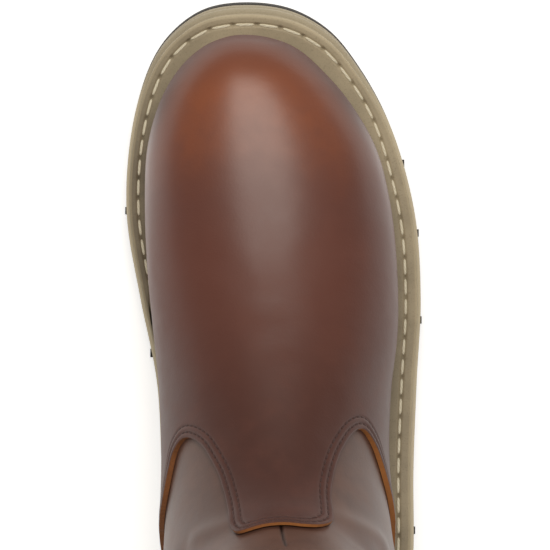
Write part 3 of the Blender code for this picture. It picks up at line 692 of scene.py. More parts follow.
# %% The vamp's edge
VAMP_MEDIAL = {             # turn from the ridge in degrees, section
    "tongue dip": (7.0, 12.80),
    "tongue point": (19.6, 12.93),
    "tongue corner": (22.9, 12.58),
    "tongue side": (23.7, 12.00),
    "tongue waist": (25.7, 11.35),
    "tongue root": (29.5, 10.72),
    "arch rise": (34.5, 10.31),
    "arch shoulder": (41.0, 9.96),
    "arch top": (52.0, 9.80),
    "arch fall": (62.3, 10.00),
    "wing root": (68.3, 10.30),
    "wing": (75.8, 10.65),
    "wing side": (87.0, 10.92),
    "wing tail": (104.0, 11.20),
    "wing foot": (124.0, 11.40),
    "under the sole": (180.0, 11.50),
}
VAMP_LATERAL = {
    "tongue middle": (0.0, 12.78),
    "tongue dip": (6.0, 12.84),
    "tongue point": (13.0, 12.74),
    "tongue corner": (20.6, 12.28),
    "tongue side": (21.6, 11.85),
    "tongue waist": (23.4, 11.06),
    "tongue root": (28.5, 10.42),
    "arch rise": (34.1, 10.03),
    "arch shoulder": (41.0, 9.74),
    "arch top": (48.0, 9.66),
    "arch fall": (58.7, 9.89),
    "wing root": (66.9, 10.18),
    "wing": (74.0, 10.45),
    "wing side": (86.5, 10.78),
    "wing tail": (104.0, 11.14),
    "wing foot": (124.0, 11.40),
    "under the sole": (180.0, 11.50),
}
CHART = np.array([0.85, 15.0])      # about how far a degree and a section reach, mm
EDGE_STEPS = 6000


def charted_edge():
    """(station, turn) along the vamp's edge, from the medial welt to the lateral one."""
    medial = [(-turn, station) for turn, station in reversed(VAMP_MEDIAL.values())]
    rows = np.array(medial + list(VAMP_LATERAL.values()))
    turn, station = (RowCurve(rows * CHART)(np.linspace(0, len(rows) - 1, EDGE_STEPS)) / CHART).T
    turn = np.maximum.accumulate(turn) / 360
    inside = np.abs(turn) < lasted_turn(station, 1.0)
    return station[inside], turn[inside]


EDGE_STATION, EDGE_TURN = charted_edge()
EDGE_POINTS = bare_skin(EDGE_STATION, EDGE_TURN)
EDGE_RUN = run_of(EDGE_POINTS)
EDGE_TREE = near_tree(EDGE_POINTS[::3])
print("vamp edge, mm:", round(EDGE_RUN[-1]))

# %% [markdown]
# ## Folds
# New leather has few creases, all soft. Each is a straight line in the top view or the side view, a trough
# with a low ridge on both sides of it that fades out at both ends.

# %% Folds
VAMP_FOLDS = {              # x, behind, x, behind, depth, half width
    "flex, inner": (-40.0, 96.0, -4.0, 112.0, 0.45, 5.0),
    "flex, outer": (2.0, 104.0, 42.0, 92.0, 0.42, 5.0),
    "flex, rear": (-34.0, 118.0, 16.0, 126.0, 0.38, 6.0),
    "ball, outer": (14.0, 118.0, 40.0, 108.0, 0.32, 4.0),
    "instep": (-12.0, 138.0, 30.0, 132.0, 0.30, 6.0),
    "tongue root, inner": (-26.0, 150.0, -12.0, 172.0, 0.30, 6.0),
    "tongue root, outer": (24.0, 150.0, 16.0, 172.0, 0.30, 6.0),
}
SHAFT_FOLDS = {             # side, behind, up, behind, up, depth, half width
    "lateral ankle, low": (LATERAL, 206.0, 118.0, 262.0, 96.0, 1.3, 9.0),
    "lateral ankle, high": (LATERAL, 208.0, 150.0, 268.0, 128.0, 1.1, 10.0),
    "lateral front, ridge": (LATERAL, 196.0, 132.0, 212.0, 96.0, -0.9, 5.0),
    "lateral front, trough": (LATERAL, 204.0, 138.0, 224.0, 104.0, 0.9, 5.0),
    "medial front, ridge": (MEDIAL, 198.0, 136.0, 208.0, 112.0, -0.7, 5.0),
    "lateral calf": (LATERAL, 218.0, 190.0, 290.0, 170.0, 0.7, 14.0),
    "medial ankle, low": (MEDIAL, 204.0, 116.0, 262.0, 100.0, 1.2, 9.0),
    "medial ankle, high": (MEDIAL, 210.0, 152.0, 274.0, 134.0, 1.0, 10.0),
    "medial calf": (MEDIAL, 214.0, 186.0, 284.0, 178.0, 0.7, 14.0),
    "back of the ankle, lateral": (LATERAL, 280.0, 136.0, 306.0, 128.0, 0.8, 7.0),
    "back of the ankle, medial": (MEDIAL, 280.0, 138.0, 306.0, 130.0, 0.8, 7.0),
}


def bell(away, half):
    """One in the middle of a soft ridge, falling off on both sides of it."""
    return np.exp(-(away / half) ** 2)


def fold(across, along, x1, y1, x2, y2, depth, half):
    """One fold's relief in millimetres, in a flat view."""
    run, rise = x2 - x1, y2 - y1
    share = np.clip(((across - x1) * run + (along - y1) * rise) / (run ** 2 + rise ** 2), 0, 1)
    away = np.hypot(across - x1 - share * run, along - y1 - share * rise) / half
    return -depth * smooth(4 * share * (1 - share)) * (1 - 0.7 * away ** 2) * bell(away, 1.0)


def vamp_folds(points):
    x, behind, up = design_place(points)
    top = smooth((up - 40.0) / 25.0)
    return top * sum(fold(x, behind, *row) for row in VAMP_FOLDS.values())


def shaft_folds(points):
    x, behind, up = design_place(points)
    sides = {side: smooth(side * (x - MIDDLE_X) / 20.0) for side in (MEDIAL, LATERAL)}
    return sum(sides[row[0]] * fold(behind, up, *row[1:]) for row in SHAFT_FOLDS.values())


def folded_skin(station, turn, grow):
    """The skin with the shaft's folds, for every layer that lies on it."""
    return skin(station, turn, grow + shaft_folds(bare_skin(station, turn)))


print("folds:", len(VAMP_FOLDS) + len(SHAFT_FOLDS))

# %% [markdown]
# ## Upper and shaft
# One wall of leather runs from the toe, under the vamp, to the collar, and it is lined with tan leather.
# The grid's rows end on the collar's line and on the lasted edge under the foot, so nothing has to be cut
# away. Its columns stand closest at the front, where a short seam is sunk into the leather above the vamp's
# tongue.

# %% Upper
COLLAR, COLLAR_RISE = 262.0, 9.0
UPPER_ROWS, UPPER_COLUMNS = 150, 240
HIDDEN_ROWS = 0.16          # share of the rows under the vamp
HIDDEN_END = 9.0
SEAM_LOW, SEAM_HIGH = 144.0, 178.0  # the short seam at the shaft's front, which leans outwards as it rises
SEAM_X, SEAM_LEAN = 2.8, 0.064
SEAM_HALF, SEAM_DEPTH, SEAM_FADE = 0.5, 0.8, 14.0
FRONT_TURN = 0.1
PRESS, PRESS_REACH = 0.12, 3.2      # how deep the vamp's edge presses into the shaft, and how far round it
COLLAR_START = 17.0                 # the section from which the collar is looked for


def collar_height(behind):
    front, back = SECTIONS["above collar"][0], SECTIONS["above collar"][2]
    return COLLAR + COLLAR_RISE * np.sin(np.pi * np.clip((behind - front) / (back - front), 0, 1)) ** 2


def collar_station(turn):
    def is_under(station):
        _, behind, up = design_place(bare_skin(station, turn))
        return up < collar_height(behind)

    return bisected(np.full(np.shape(turn), COLLAR_START), np.full(np.shape(turn), LAST_RING), is_under)


def past(turn, degrees, spread):
    """Nought near the ridge and one down the sides, with a soft step at so many degrees of turn."""
    return smooth((np.abs(turn) * 360 - degrees) / spread)


def upper_relief(points, turn):
    pressed = PRESS * bell(distances(points, EDGE_TREE), PRESS_REACH) * (0.6 + 0.4 * past(turn, 50.0, 25.0))
    return -pressed - SEAM_DEPTH * front_seam(points, turn)


def front_seam(points, turn):
    """One on the short seam, nought beside it."""
    x, _, up = design_place(points)
    away = x - SEAM_X - SEAM_LEAN * (up - SEAM_LOW)
    return bell(away, SEAM_HALF) * smooth((SEAM_HIGH - up) / SEAM_FADE) * (np.abs(turn) < FRONT_TURN)


def upper_point(u, v):
    share = (2 * v - 1) * (0.4 + 0.6 * (2 * v - 1) ** 2)
    top = collar_station(share / 2)
    station = np.where(u < HIDDEN_ROWS, u / HIDDEN_ROWS * HIDDEN_END,
                       HIDDEN_END + (u - HIDDEN_ROWS) / (1 - HIDDEN_ROWS) * (top - HIDDEN_END))
    turn = lasted_turn(station, share)
    points = bare_skin(station, turn)
    return folded_skin(station, turn, upper_relief(points, turn)), front_seam(points, turn)


upper_bm = lay(UPPER_ROWS, UPPER_COLUMNS, upper_point, "front_seam")
face_out(upper_bm)
upper = add_piece("boot_upper", upper_bm, [SHAFT_LEATHER, LINING], "upper")
thicken(upper, WALL, inner=1)

# %% [markdown]
# ## Vamp
# The vamp is a second layer of leather over the toe and instep. Its columns run from the toe to evenly
# spaced places on the edge, so the edge stays crisp round the tongue and the arches. The same sheet goes on
# down the cut and back underneath, which gives the raw edge faces of its own. The leather is pressed in
# along two rows of stitching, rounded at the cut and lifted a little at the wings.

# %% Vamp
VAMP_COLUMNS, VAMP_ROWS = 400, 120
FAN_START = 8.6             # the section from which the columns fan out to the edge
FAN_ROWS = 0.58             # share of the rows behind it
ROW_ONE, ROW_TWO = 2.0, 4.6     # stitch rows, in from the edge
WING_LIFT = 0.2
INNER_ROWS, CUT_ROWS = 18, 4
WING_INNER, TONGUE_INNER = 0.08, 0.75     # how far the inner face stands off the shaft
DENT, PUFF, ROUNDING = 0.30, 0.14, 0.25   # relief of a sewn edge

edge_steps = np.linspace(0, EDGE_RUN[-1], VAMP_COLUMNS + 1)
column_station = np.interp(edge_steps, EDGE_RUN, EDGE_STATION)
column_share = np.interp(edge_steps, EDGE_RUN, EDGE_TURN) / lasted_turn(column_station, 1.0)
column_share[[0, -1]] = -1, 1
middle_run = np.interp(0.0, EDGE_TURN, EDGE_RUN)
even_share = np.where(edge_steps < middle_run, edge_steps / middle_run - 1,
                      (edge_steps - middle_run) / (EDGE_RUN[-1] - middle_run))
fan_share = (column_share + even_share) / 2


def stitch_dents(edge_mm):
    """Relief along a sewn edge: pressed under both rows, a little puffed between, rounded at the cut."""
    dents = sum(bell(edge_mm - row, 0.5) for row in (ROW_ONE, ROW_TWO))
    puff = bell(edge_mm - (ROW_ONE + ROW_TWO) / 2, 0.8)
    return PUFF * puff - DENT * dents - ROUNDING * (1 - smooth(edge_mm / 0.8)) ** 2


def vamp_point(u, v):
    """Rows run over the outer face to the edge, down the cut and back along the inner face."""
    column = np.rint(v * VAMP_COLUMNS).astype(int)
    row = np.rint(u * (VAMP_ROWS + CUT_ROWS + INNER_ROWS)).astype(int)
    cut = np.clip((row - VAMP_ROWS) / CUT_ROWS, 0, 1)
    back = np.clip((row - VAMP_ROWS - CUT_ROWS) / INNER_ROWS, 0, 1)
    reach = np.minimum(row / VAMP_ROWS, 1) * (1 - back)
    fan = np.clip((reach - 1 + FAN_ROWS) / FAN_ROWS, 0, 1)
    fan = 1 - (1 - fan) ** 1.5
    station = np.where(reach < 1 - FAN_ROWS, reach / (1 - FAN_ROWS) * FAN_START,
                       FAN_START + fan * (column_station[column] - FAN_START))
    turn = lasted_turn(station, fan_share[column] + fan * (column_share[column] - fan_share[column]))
    points = bare_skin(station, turn)
    edge_mm = distances(points, EDGE_TREE)
    wing = past(turn, 48.0, 25.0) * smooth((design_place(points)[2] - 45.0) / 20.0)
    lift = WING_LIFT * wing * (1 - smooth(edge_mm / 6.0))
    outer = GAP + OVERLAY + stitch_dents(edge_mm) + lift + vamp_folds(points)
    inner = TONGUE_INNER + (WING_INNER - TONGUE_INNER) * past(turn, 32.0, 16.0)
    raw = (row >= VAMP_ROWS) & (row <= VAMP_ROWS + CUT_ROWS)
    return folded_skin(station, turn, outer + cut * (inner - outer)), raw.astype(float)


vamp_bm = lay(VAMP_ROWS + CUT_ROWS + INNER_ROWS, VAMP_COLUMNS, vamp_point, "cut_edge")
cut_layer = vamp_bm.verts.layers.float["cut_edge"]
for face in vamp_bm.faces:
    face.material_index = int(all(vert[cut_layer] > 0.5 for vert in face.verts))
bmesh.ops.remove_doubles(vamp_bm, verts=vamp_bm.verts, dist=WELD)
bmesh.ops.recalc_face_normals(vamp_bm, faces=vamp_bm.faces)
crown = max(vamp_bm.faces, key=lambda face: face.calc_center_median().z)
if crown.normal.z < 0:
    bmesh.ops.reverse_faces(vamp_bm, faces=vamp_bm.faces)
add_piece("boot_vamp", vamp_bm, [VAMP_LEATHER, RAW_EDGE], "vamp")

# %% [markdown]
# ## Stitches
# A stitch is a short length of twisted thread that dips into the leather at both ends: a sphere, filled out
# to a rod and bent down at its tips, does for it. A line is moved inwards over the skin to give each row
# its path, and the stitches are set along it.

# %% Stitches
TWIST = (3.0, 7.0, 0.0)     # turns of the yarn round a stitch and along it


def thread(name, colour, dark):
    def paint(start):
        around = start.node("UVMap", {"uv_map": "thread"})
        lines = start.node("VectorMath", {"operation": "DOT_PRODUCT"}, {0: around, 1: TWIST}, output="Value")
        twist = start.node("Math", {"operation": "PINGPONG"}, {0: lines, 1: 0.5}) * 2.0
        spot = start.node("TexCoord", output="Object")
        tone = (twist * 0.4 + noise(start, spot, 900.0) * 0.6).rise(0.1, 0.7).mix(dark, colour)
        return {"Base Color": tone,
                "Normal": start.node("Bump", {}, {"Strength": 0.5, "Distance": 0.15 * MM, "Height": twist})}

    return finish(name, paint, Roughness=0.7)


CREAM_THREAD = thread("cream_thread", (0.86, 0.80, 0.62), (0.62, 0.55, 0.39))
BROWN_THREAD = thread("brown_thread", (0.064, 0.024, 0.018), (0.030, 0.012, 0.009))


def inset_line(station, turn, inset):
    """A line on the skin, `inset` millimetres to the left of another one, as seen from outside."""
    path = bare_skin(station, turn)
    tree = near_tree(path)
    along = np.gradient(path, axis=0)
    along /= np.linalg.norm(along, axis=1, keepdims=True)
    aim = path + np.cross(skin_normal(station, turn), along) * inset * MM
    for _ in range(5):
        here = bare_skin(station, turn)
        by_station = (bare_skin(station + NUDGE, turn) - here) / NUDGE
        by_turn = (bare_skin(station, turn + NUDGE) - here) / NUDGE
        miss = aim - here
        a, b, c = (by_station ** 2).sum(1), (by_station * by_turn).sum(1), (by_turn ** 2).sum(1)
        p, q = (miss * by_station).sum(1), (miss * by_turn).sum(1)
        area = a * c - b * b
        station, turn = station + (c * p - b * q) / area, turn + (a * q - b * p) / area
    clear = distances(bare_skin(station, turn), tree) > abs(inset) * 0.97
    return station[clear], turn[clear]


def stitch_run(path, pitch):
    """Stitches counted along a line of points, a whole number of them; the pitch may change along it."""
    run = np.concatenate([[0.0], np.cumsum(np.linalg.norm(np.diff(path, axis=0), axis=1) / (pitch * MM))])
    return run * (int(run[-1]) / run[-1])


def sew(bm, path, normals, run, fill, width, height):
    """Sets a stitch on each whole step of the run, filling that share of it; its ends dip in."""
    def at(step, values):
        return Vector([np.interp(step, run, values[:, axis]) for axis in range(3)])

    for number in range(round(run[-1])):
        made = bmesh.ops.create_uvsphere(bm, u_segments=8, v_segments=8, radius=1.0, calc_uvs=True)["verts"]
        for vert in made:
            vert.co.z = math.copysign(abs(vert.co.z) ** 0.5, vert.co.z)
            vert.co.y -= 0.5 * vert.co.z ** 6
        first, last = at(number + 0.5 - fill / 2, path), at(number + 0.5 + fill / 2, path)
        along = (last - first).normalized()
        outward = at(number + 0.5, normals).normalized()
        outward = (outward - along * outward.dot(along)).normalized()
        columns = (outward.cross(along) * width * MM, outward * height * MM, last - first)
        turned = Matrix([[column[axis] / 2 for column in columns] for axis in range(3)]).to_4x4()
        bmesh.ops.transform(bm, matrix=Matrix.Translation((first + last) / 2) @ turned, verts=made)
    return round(run[-1])


def stitch_mesh():
    bm = bmesh.new()
    bm.loops.layers.uv.new("thread")
    return bm


SEAM_PITCH, SEAM_FILL, SEAM_THREAD = 2.9, 0.9, 0.85
THREAD_SINK = 0.28          # how far a row lies below the overlay's face


def sew_seam(bm, path, normals, height=0.6):
    return sew(bm, path, normals, stitch_run(path, SEAM_PITCH), SEAM_FILL, SEAM_THREAD, height)


def sew_edge(name, edge_station, edge_turn):
    """Both rows of stitches along the edge of an overlay, from every fourth point of it."""
    bm = stitch_mesh()
    for row in (ROW_ONE, ROW_TWO):
        station, turn = inset_line(edge_station[::4], edge_turn[::4], row)
        path = folded_skin(station, turn, GAP + OVERLAY - THREAD_SINK)
        print("stitches in a row:", sew_seam(bm, path, skin_normal(station, turn)))
    add_piece(name, bm, [BROWN_THREAD])


sew_edge("vamp_stitches", EDGE_STATION, EDGE_TURN)

# %% [markdown]
# ## Heel counter
# The counter wraps the heel behind the side seams. Its top edge is drawn in the side view and read back
# onto the last, and the sheet runs from the welt up to that edge.

# %% Heel counter
COUNTER_EDGE = {            # behind, up
    "welt": (236.5, 20.0),
    "foot": (237.5, 40.0),
    "front": (243.0, 62.0),
    "shoulder": (256.0, 82.0),
    "top": (276.0, 98.0),
    "crest": (296.0, 107.0),
    "back": (320.0, 111.0),
}
COUNTER_COLUMNS, COUNTER_ROWS = 150, 60
BEFORE_KEEL = 0.4999        # a turn just short of the middle underneath or behind


def counter_edge():
    """(station, turn) along the counter's edge, from the lateral welt to the middle of the back."""
    rows = np.array(list(COUNTER_EDGE.values()))
    behind, up = RowCurve(rows)(np.linspace(0, len(rows) - 1, 3000)).T
    station, turn = side_place(behind, up)
    depth = foot_depth(bare_skin(station, turn))
    keep = (depth < WELT) & (turn < BEFORE_KEEL)
    return np.append(station[keep], station[keep][-1]), np.append(turn[keep], 0.5)


counter_station, counter_turn = counter_edge()
counter_points = bare_skin(counter_station, counter_turn)
counter_share = run_of(counter_points) / run_of(counter_points)[-1]
both_sides = np.concatenate([counter_points, bare_skin(counter_station, -counter_turn)])
counter_tree = near_tree(both_sides[::3])

heel_seat = bisected(13.0, 16.0, lambda station: foot_depth(bare_skin(station, 0.5)) > WELT)
seat_station = counter_station[0] + (heel_seat - counter_station[0]) * (1 - np.linspace(1, 0, 1500) ** 2)
seat_turn = np.append(foot_turn(seat_station[:-1], WELT), 0.5)
seat_points = bare_skin(seat_station, seat_turn)
seat_share = run_of(seat_points) / run_of(seat_points)[-1]


def counter_point(u, v):
    side = np.where(v < 0.5, MEDIAL, LATERAL)
    along = 1 - np.abs(2 * v - 1)
    low_station = np.interp(along, seat_share, seat_station)
    low_turn = np.interp(along, seat_share, seat_turn)
    top_station = np.interp(along, counter_share, counter_station)
    top_turn = np.interp(along, counter_share, counter_turn)
    station = low_station + u * (top_station - low_station)
    turn = side * (low_turn + u * (top_turn - low_turn))
    edge_mm = distances(bare_skin(station, turn), counter_tree)
    return folded_skin(station, turn, GAP + OVERLAY + stitch_dents(edge_mm))


counter_bm = lay(COUNTER_ROWS, COUNTER_COLUMNS, counter_point)
face_out(counter_bm)
counter = add_piece("boot_counter", counter_bm, [HEEL_LEATHER, RAW_EDGE], "heel_counter")
thicken(counter, OVERLAY, rim=1)

whole_station = np.concatenate([counter_station, counter_station[-2::-1]])
whole_turn = np.concatenate([counter_turn, 1 - counter_turn[-2::-1]])
sew_edge("counter_stitches", whole_station, whole_turn)

# %% [markdown]
# ## Straps and side seams
# These are ribbons: a flat section with rounded edges, carried along a line that is drawn as a height and a
# distance off the shaft. The pull straps loop over the collar and the side seams lie flat below them, so
# one function makes all four.

# %% Ribbons
SEAM_BEHIND = 254.0
STRAP_WIDTH, STRAP_BULGE = 30.0, 3.0
STRAP_OUTSIDE = GAP + OVERLAY / 2
STRAP_OVER_TRIM = TRIM + 3 * GAP + OVERLAY / 2
STRAP_INSIDE = -WALL - 2 * GAP - OVERLAY / 2
STRAP_LINE = {              # rise above the collar, distance off the shaft
    "outer end": (-56.0, STRAP_OUTSIDE),
    "outer middle": (-34.0, STRAP_OUTSIDE),
    "outer trim": (-11.0, STRAP_OVER_TRIM),
    "outer collar": (2.0, STRAP_OVER_TRIM + 0.4),
    "outer loop": (12.0, STRAP_OVER_TRIM + STRAP_BULGE),
    "outer crown": (21.5, STRAP_OVER_TRIM + 0.4),
    "crown": (24.5, -WALL / 2),
    "inner crown": (21.5, -WALL - STRAP_OVER_TRIM - 0.4),
    "inner loop": (12.0, -WALL - STRAP_OVER_TRIM - STRAP_BULGE),
    "inner collar": (2.0, -WALL - STRAP_OVER_TRIM - 0.4),
    "inner trim": (-11.0, -WALL - STRAP_OVER_TRIM),
    "inner end": (-40.0, STRAP_INSIDE),
}
SEAM_FOOT, SEAM_TOP = 96.0, COLLAR + COLLAR_RISE - 60.0
SEAM_WIDTH, SEAM_LEATHER = 6.0, 1.2
SNUG = GAP + 0.08           # a sewn ribbon is pulled down onto the shaft so far, from inside and outside
SEAM_ROW, STRAP_ROW = 1.7, 12.4     # stitch rows, to each side of a ribbon's middle
ROW_STEPS = 60


def flat_section(width, thick, flats, bend=4):
    """A flat section with round edges, as (across, lift), once round."""
    radius = thick / 2
    quarter = np.linspace(-np.pi / 2, np.pi / 2, bend + 1)
    right = [(width / 2 - radius + radius * math.cos(a), radius * math.sin(a)) for a in quarter]
    top = [(x, radius) for x in np.linspace(width / 2 - radius, radius - width / 2, flats + 1)[1:-1]]
    half = right + top
    return np.array(half + [(-x, -lift) for x, lift in half])


def ribbon(side, rows, base_up, width, thick, along, flats):
    """A ribbon on one side of the shaft; rows are (rise, off)."""
    curve = RowCurve(rows)
    section = flat_section(width, thick, flats)

    def point(u, v):
        station = u * (len(rows) - 1)
        rise, off = curve(station).T
        run = curve(station + 0.01) - curve(station - 0.01)
        run /= np.linalg.norm(run, axis=1, keepdims=True)
        across, lift = section[row_of(v, len(section))].T
        spot, turn = side_place(SEAM_BEHIND + across, base_up + rise - lift * run[:, 1])
        return folded_skin(spot, side * turn, off - SNUG * np.tanh(off + WALL / 2) + lift * run[:, 0])

    bm = lay(along, len(section), point)
    close_up(bm)
    return bm


def ribbon_stitches(bm, side, rises, across, off):
    """One row of stitches up a ribbon."""
    station, turn = side_place(SEAM_BEHIND + across, np.linspace(*rises, ROW_STEPS))
    path = folded_skin(station, side * turn, off - SNUG)
    return sew_seam(bm, path, skin_normal(station, side * turn), 0.5)


strap_collar = float(collar_height(SEAM_BEHIND))
seam_rows = [(SEAM_FOOT, GAP + SEAM_LEATHER / 2), (SEAM_TOP, GAP + SEAM_LEATHER / 2)]
for side, word in ((MEDIAL, "medial"), (LATERAL, "lateral")):
    strap_bm = ribbon(side, list(STRAP_LINE.values()), strap_collar, STRAP_WIDTH, OVERLAY, 120, 12)
    add_piece(f"pull_strap_{word}_leather", strap_bm, [HEEL_LEATHER], f"pull_strap_{word}")
    seam_bm = ribbon(side, seam_rows, 0.0, SEAM_WIDTH, SEAM_LEATHER, 90, 6)
    add_piece(f"side_seam_{word}_leather", seam_bm, [HEEL_LEATHER], f"side_seam_{word}")
    stitch_bm = stitch_mesh()
    for across in (-SEAM_ROW, SEAM_ROW):
        ribbon_stitches(stitch_bm, side, (SEAM_FOOT + 2, SEAM_TOP - 2), across, GAP + SEAM_LEATHER - 0.05)
    for across in (-STRAP_ROW, STRAP_ROW):
        ribbon_stitches(stitch_bm, side, (strap_collar - 54, strap_collar - 14), across, GAP + OVERLAY)
    add_piece(f"side_stitches_{word}", stitch_bm, [BROWN_THREAD])

# %% [markdown]
# ## Collar binding
# The collar's raw edge is hidden by a narrow strip, folded over it and sewn through. A tube could be bent
# along the collar; the folded section is carried once round it instead, so both of its legs lie on the
# leather.

# %% Collar binding
BINDING_DROP = 9.0
BINDING_STEPS = 180


def binding_section():
    """The folded strip, as (off, rise), once round: outside and over the top, then back inside the fold."""
    out, inside, roof = GAP + TRIM, WALL + GAP + TRIM, 2 * GAP
    middle, reach = (out - inside) / 2, (out + inside) / 2
    over = [(middle + reach * math.cos(a), (roof + TRIM) * math.sin(a)) for a in np.linspace(0, np.pi, 13)]
    under = [(middle + (reach - TRIM) * math.cos(a), roof * math.sin(a)) for a in np.linspace(np.pi, 0, 9)]
    outer_leg = [(out - 0.3, -BINDING_DROP), (out, -BINDING_DROP + 0.4), (out, -BINDING_DROP / 2)]
    inner_leg = [(-inside, -BINDING_DROP / 2), (-inside, -BINDING_DROP + 0.4), (0.3 - inside, -BINDING_DROP)]
    fold_in = [(TRIM - inside, -BINDING_DROP)]
    return np.array(outer_leg + over + inner_leg + fold_in + under + [(GAP, -BINDING_DROP)])


def collar_frame(turn):
    station = collar_station(turn)
    point = bare_skin(station, turn)
    up = point - bare_skin(station - 0.1, turn)
    return point, skin_normal(station, turn), up / np.linalg.norm(up, axis=1, keepdims=True)


BINDING = binding_section()


def binding_point(u, v):
    base, outward, up = collar_frame(u)
    off, rise = BINDING[row_of(v, len(BINDING))].T
    return base + (outward * off[:, None] + up * rise[:, None]) * MM


binding_bm = lay(BINDING_STEPS, len(BINDING), binding_point)
close_up(binding_bm)
TRIM_LEATHER = leather("binding_leather", cloudy((0.050, 0.023, 0.017), (0.078, 0.036, 0.026)), rough=0.5)
add_piece("collar_binding_leather", binding_bm, [TRIM_LEATHER], "collar_binding")

stitch_bm = stitch_mesh()
base, outward, up = collar_frame(np.linspace(0, 1, 400))
sew_seam(stitch_bm, base + (outward * (GAP + TRIM) - up * (BINDING_DROP - 2)) * MM, outward, 0.5)
add_piece("binding_stitches", stitch_bm, [BROWN_THREAD])

# %% [markdown]
# ## Rubber
# Moulded rubber is matt, with grit and soft clouds in its tone. The two khakis and the dark sole differ in
# a few numbers only, so one function makes all three. Painted shade darkens the medial side, and a mark on
# the mesh says where painted shade sits and where a painted highlight lightens a rim.

# %% Rubber finishes
def rubber(name, light, dark, rough, fleck, painted_light=None):
    """Rubber, palest at the toe and darker on the medial side, where the darkening is painted shade.

    The last argument names a mark: painted shade above nought, a painted highlight below it."""
    def paint(start):
        spot = start.node("TexCoord", output="Object")
        clouds = noise(start, spot, 60.0, 4.0)
        grit = noise(start, spot, 1500.0, 2.0)
        back = behind_toe(start, spot)
        # Painted shade: darker towards the medial side.
        bright = (clouds.rise(0.32, 0.70) * 0.25 + reach(start, spot, "X").rise(-62.0, -20.0) * 0.5
                  + (1 - back.rise(15.0, 90.0)) * 0.27 - back.rise(90.0, 220.0) * 0.12)
        tone = bright.mix(dark, light)
        tone = (grit.rise(0.52, 0.75) * fleck).mix(tone, [part * 0.55 for part in dark])
        if painted_light:
            mark = start.node("Attribute", {"attribute_name": painted_light}, output="Fac")
            # Painted shade where the mark is above nought, a painted highlight where it is below.
            tone = mark.rise(0.0, 1.0).mix(tone, [part * 0.16 for part in dark])
            tone = mark.rise(0.0, -1.0).mix(tone, [part * 1.3 for part in light])
        bump = start.node("Bump", {}, {"Strength": 0.25, "Distance": 0.2 * MM, "Height": grit + clouds})
        return {"Base Color": tone, "Roughness": grit * 0.2 + (rough - 0.1), "Normal": bump}

    return finish(name, paint, Specular_IOR_Level=0.4)


WELT_RUBBER = rubber("khaki_welt", (0.460, 0.385, 0.255), (0.160, 0.130, 0.086), 0.62, 0.25, "painted_light")
MIDSOLE_RUBBER = rubber("khaki_midsole", (0.43, 0.37, 0.26), (0.31, 0.265, 0.185), 0.66, 0.25, "painted_light")
SOLE_RUBBER = rubber("dark_lug_rubber", (0.050, 0.045, 0.040), (0.026, 0.023, 0.020), 0.72, 0.3)

print("rubbers:", WELT_RUBBER.name, MIDSOLE_RUBBER.name, SOLE_RUBBER.name)

# %% [markdown]
# ## Welt
# The welt is a strip of khaki rubber round the foot of the upper, sewn down with thick cream thread. Its
# outer edge follows the sole's outline and its inner edge the leather. The thread lies in a groove, and
# each needle hole pulls a dimple into it. Painted shade darkens the holes and the foot of the leather,
# and a painted highlight lightens the welt's outer rim.

# %% Welt
WELT_STEPS, FOOT_STEPS, LOOP_STEPS = 900, 3000, 3001
STITCH_INSET = 5.0          # from the sole's outer edge
LATERAL_INSET = 1.2         # so much more along the outer side
STITCH_PITCH, TOE_PITCH = 7.9, 9.4
STITCH_FILL, STITCH_WIDTH = 0.8, 1.15
STITCH_DEPTH = 0.34
STITCH_ROOM = 1.6           # least room between the stitches and the leather
GROOVE_HALF = 1.5
# How deep a needle hole's dimple is, how wide, and how much painted shade darkens it.
HOLE_DEPTH, HOLE_HALF, HOLE_SHADE = 0.7, 0.65, 0.45


def loop_place(share):
    """(side, outline row) once round the sole, from the heel up the medial side and down the lateral one."""
    return np.where(share < 0.5, MEDIAL, LATERAL), OUTLINE_END * np.abs(1 - 2 * share)


def leather_foot():
    """The line where the leather meets the welt's top, once round the foot, as (behind, x)."""
    turn = foot_turn(CUT_STATIONS, 0.0)
    keep = (turn < BEFORE_KEEL) & (CUT_STATIONS > 0.5) & (CUT_STATIONS < 16)
    station, turn = CUT_STATIONS[keep], turn[keep]
    fine = np.linspace(station[0], station[-1], FOOT_STEPS)
    turn = np.interp(fine, station, turn)
    grow = np.full(FOOT_STEPS, GAP + OVERLAY + WELT_GAP)
    points = np.concatenate([skin(fine, side * turn, grow) for side in (LATERAL, MEDIAL)])
    x, behind, _ = design_place(points)
    return behind, x


foot_behind, foot_x = leather_foot()
foot_tree = near_tree(np.stack([foot_behind, foot_x, np.zeros_like(foot_x)], -1))
WELT_SECTION = (            # outer rows: inset and depth
    (1.8, WELT), (1.4, WELT - 0.6), (1.4, 1.0), (1.5, 0.55), (1.75, 0.22), (2.2, 0.03), (2.7, 0.0),
    (3.2, 0.0),
)
GROOVE_SECTION = (          # rows about the stitch line: off and depth
    (-GROOVE_HALF, 0.0), (-1.1, 0.0), (-0.75, 0.15), (-0.4, 0.40), (0.0, 0.50), (0.4, 0.40), (0.75, 0.15),
    (1.1, 0.0), (GROOVE_HALF, 0.0),
)
FOOT_SECTION = (            # rows from the groove to the leather: share of the way and depth
    (0.35, 0.0), (0.6, 0.0), (0.8, 0.0), (0.93, 0.1), (1.0, 0.5), (1.0, WELT),
)


def welt_rows(share):
    """For each place round the sole: outer edge, direction inwards, width to the leather, stitch inset."""
    side, station = loop_place(share)
    outer_behind, outer_x = edge(side, station, 0.0)
    nearest = np.array([foot_tree.find((b, x, 0.0))[1] for b, x in zip(outer_behind, outer_x)])
    run_behind, run_x = foot_behind[nearest] - outer_behind, foot_x[nearest] - outer_x
    width = np.hypot(run_behind, run_x)
    wanted = STITCH_INSET + LATERAL_INSET * (side == LATERAL) * smooth((outer_behind - 30.0) / 40.0)
    stitch = np.minimum(wanted, width - STITCH_ROOM)
    return outer_behind, outer_x, run_behind / width, run_x / width, width, stitch


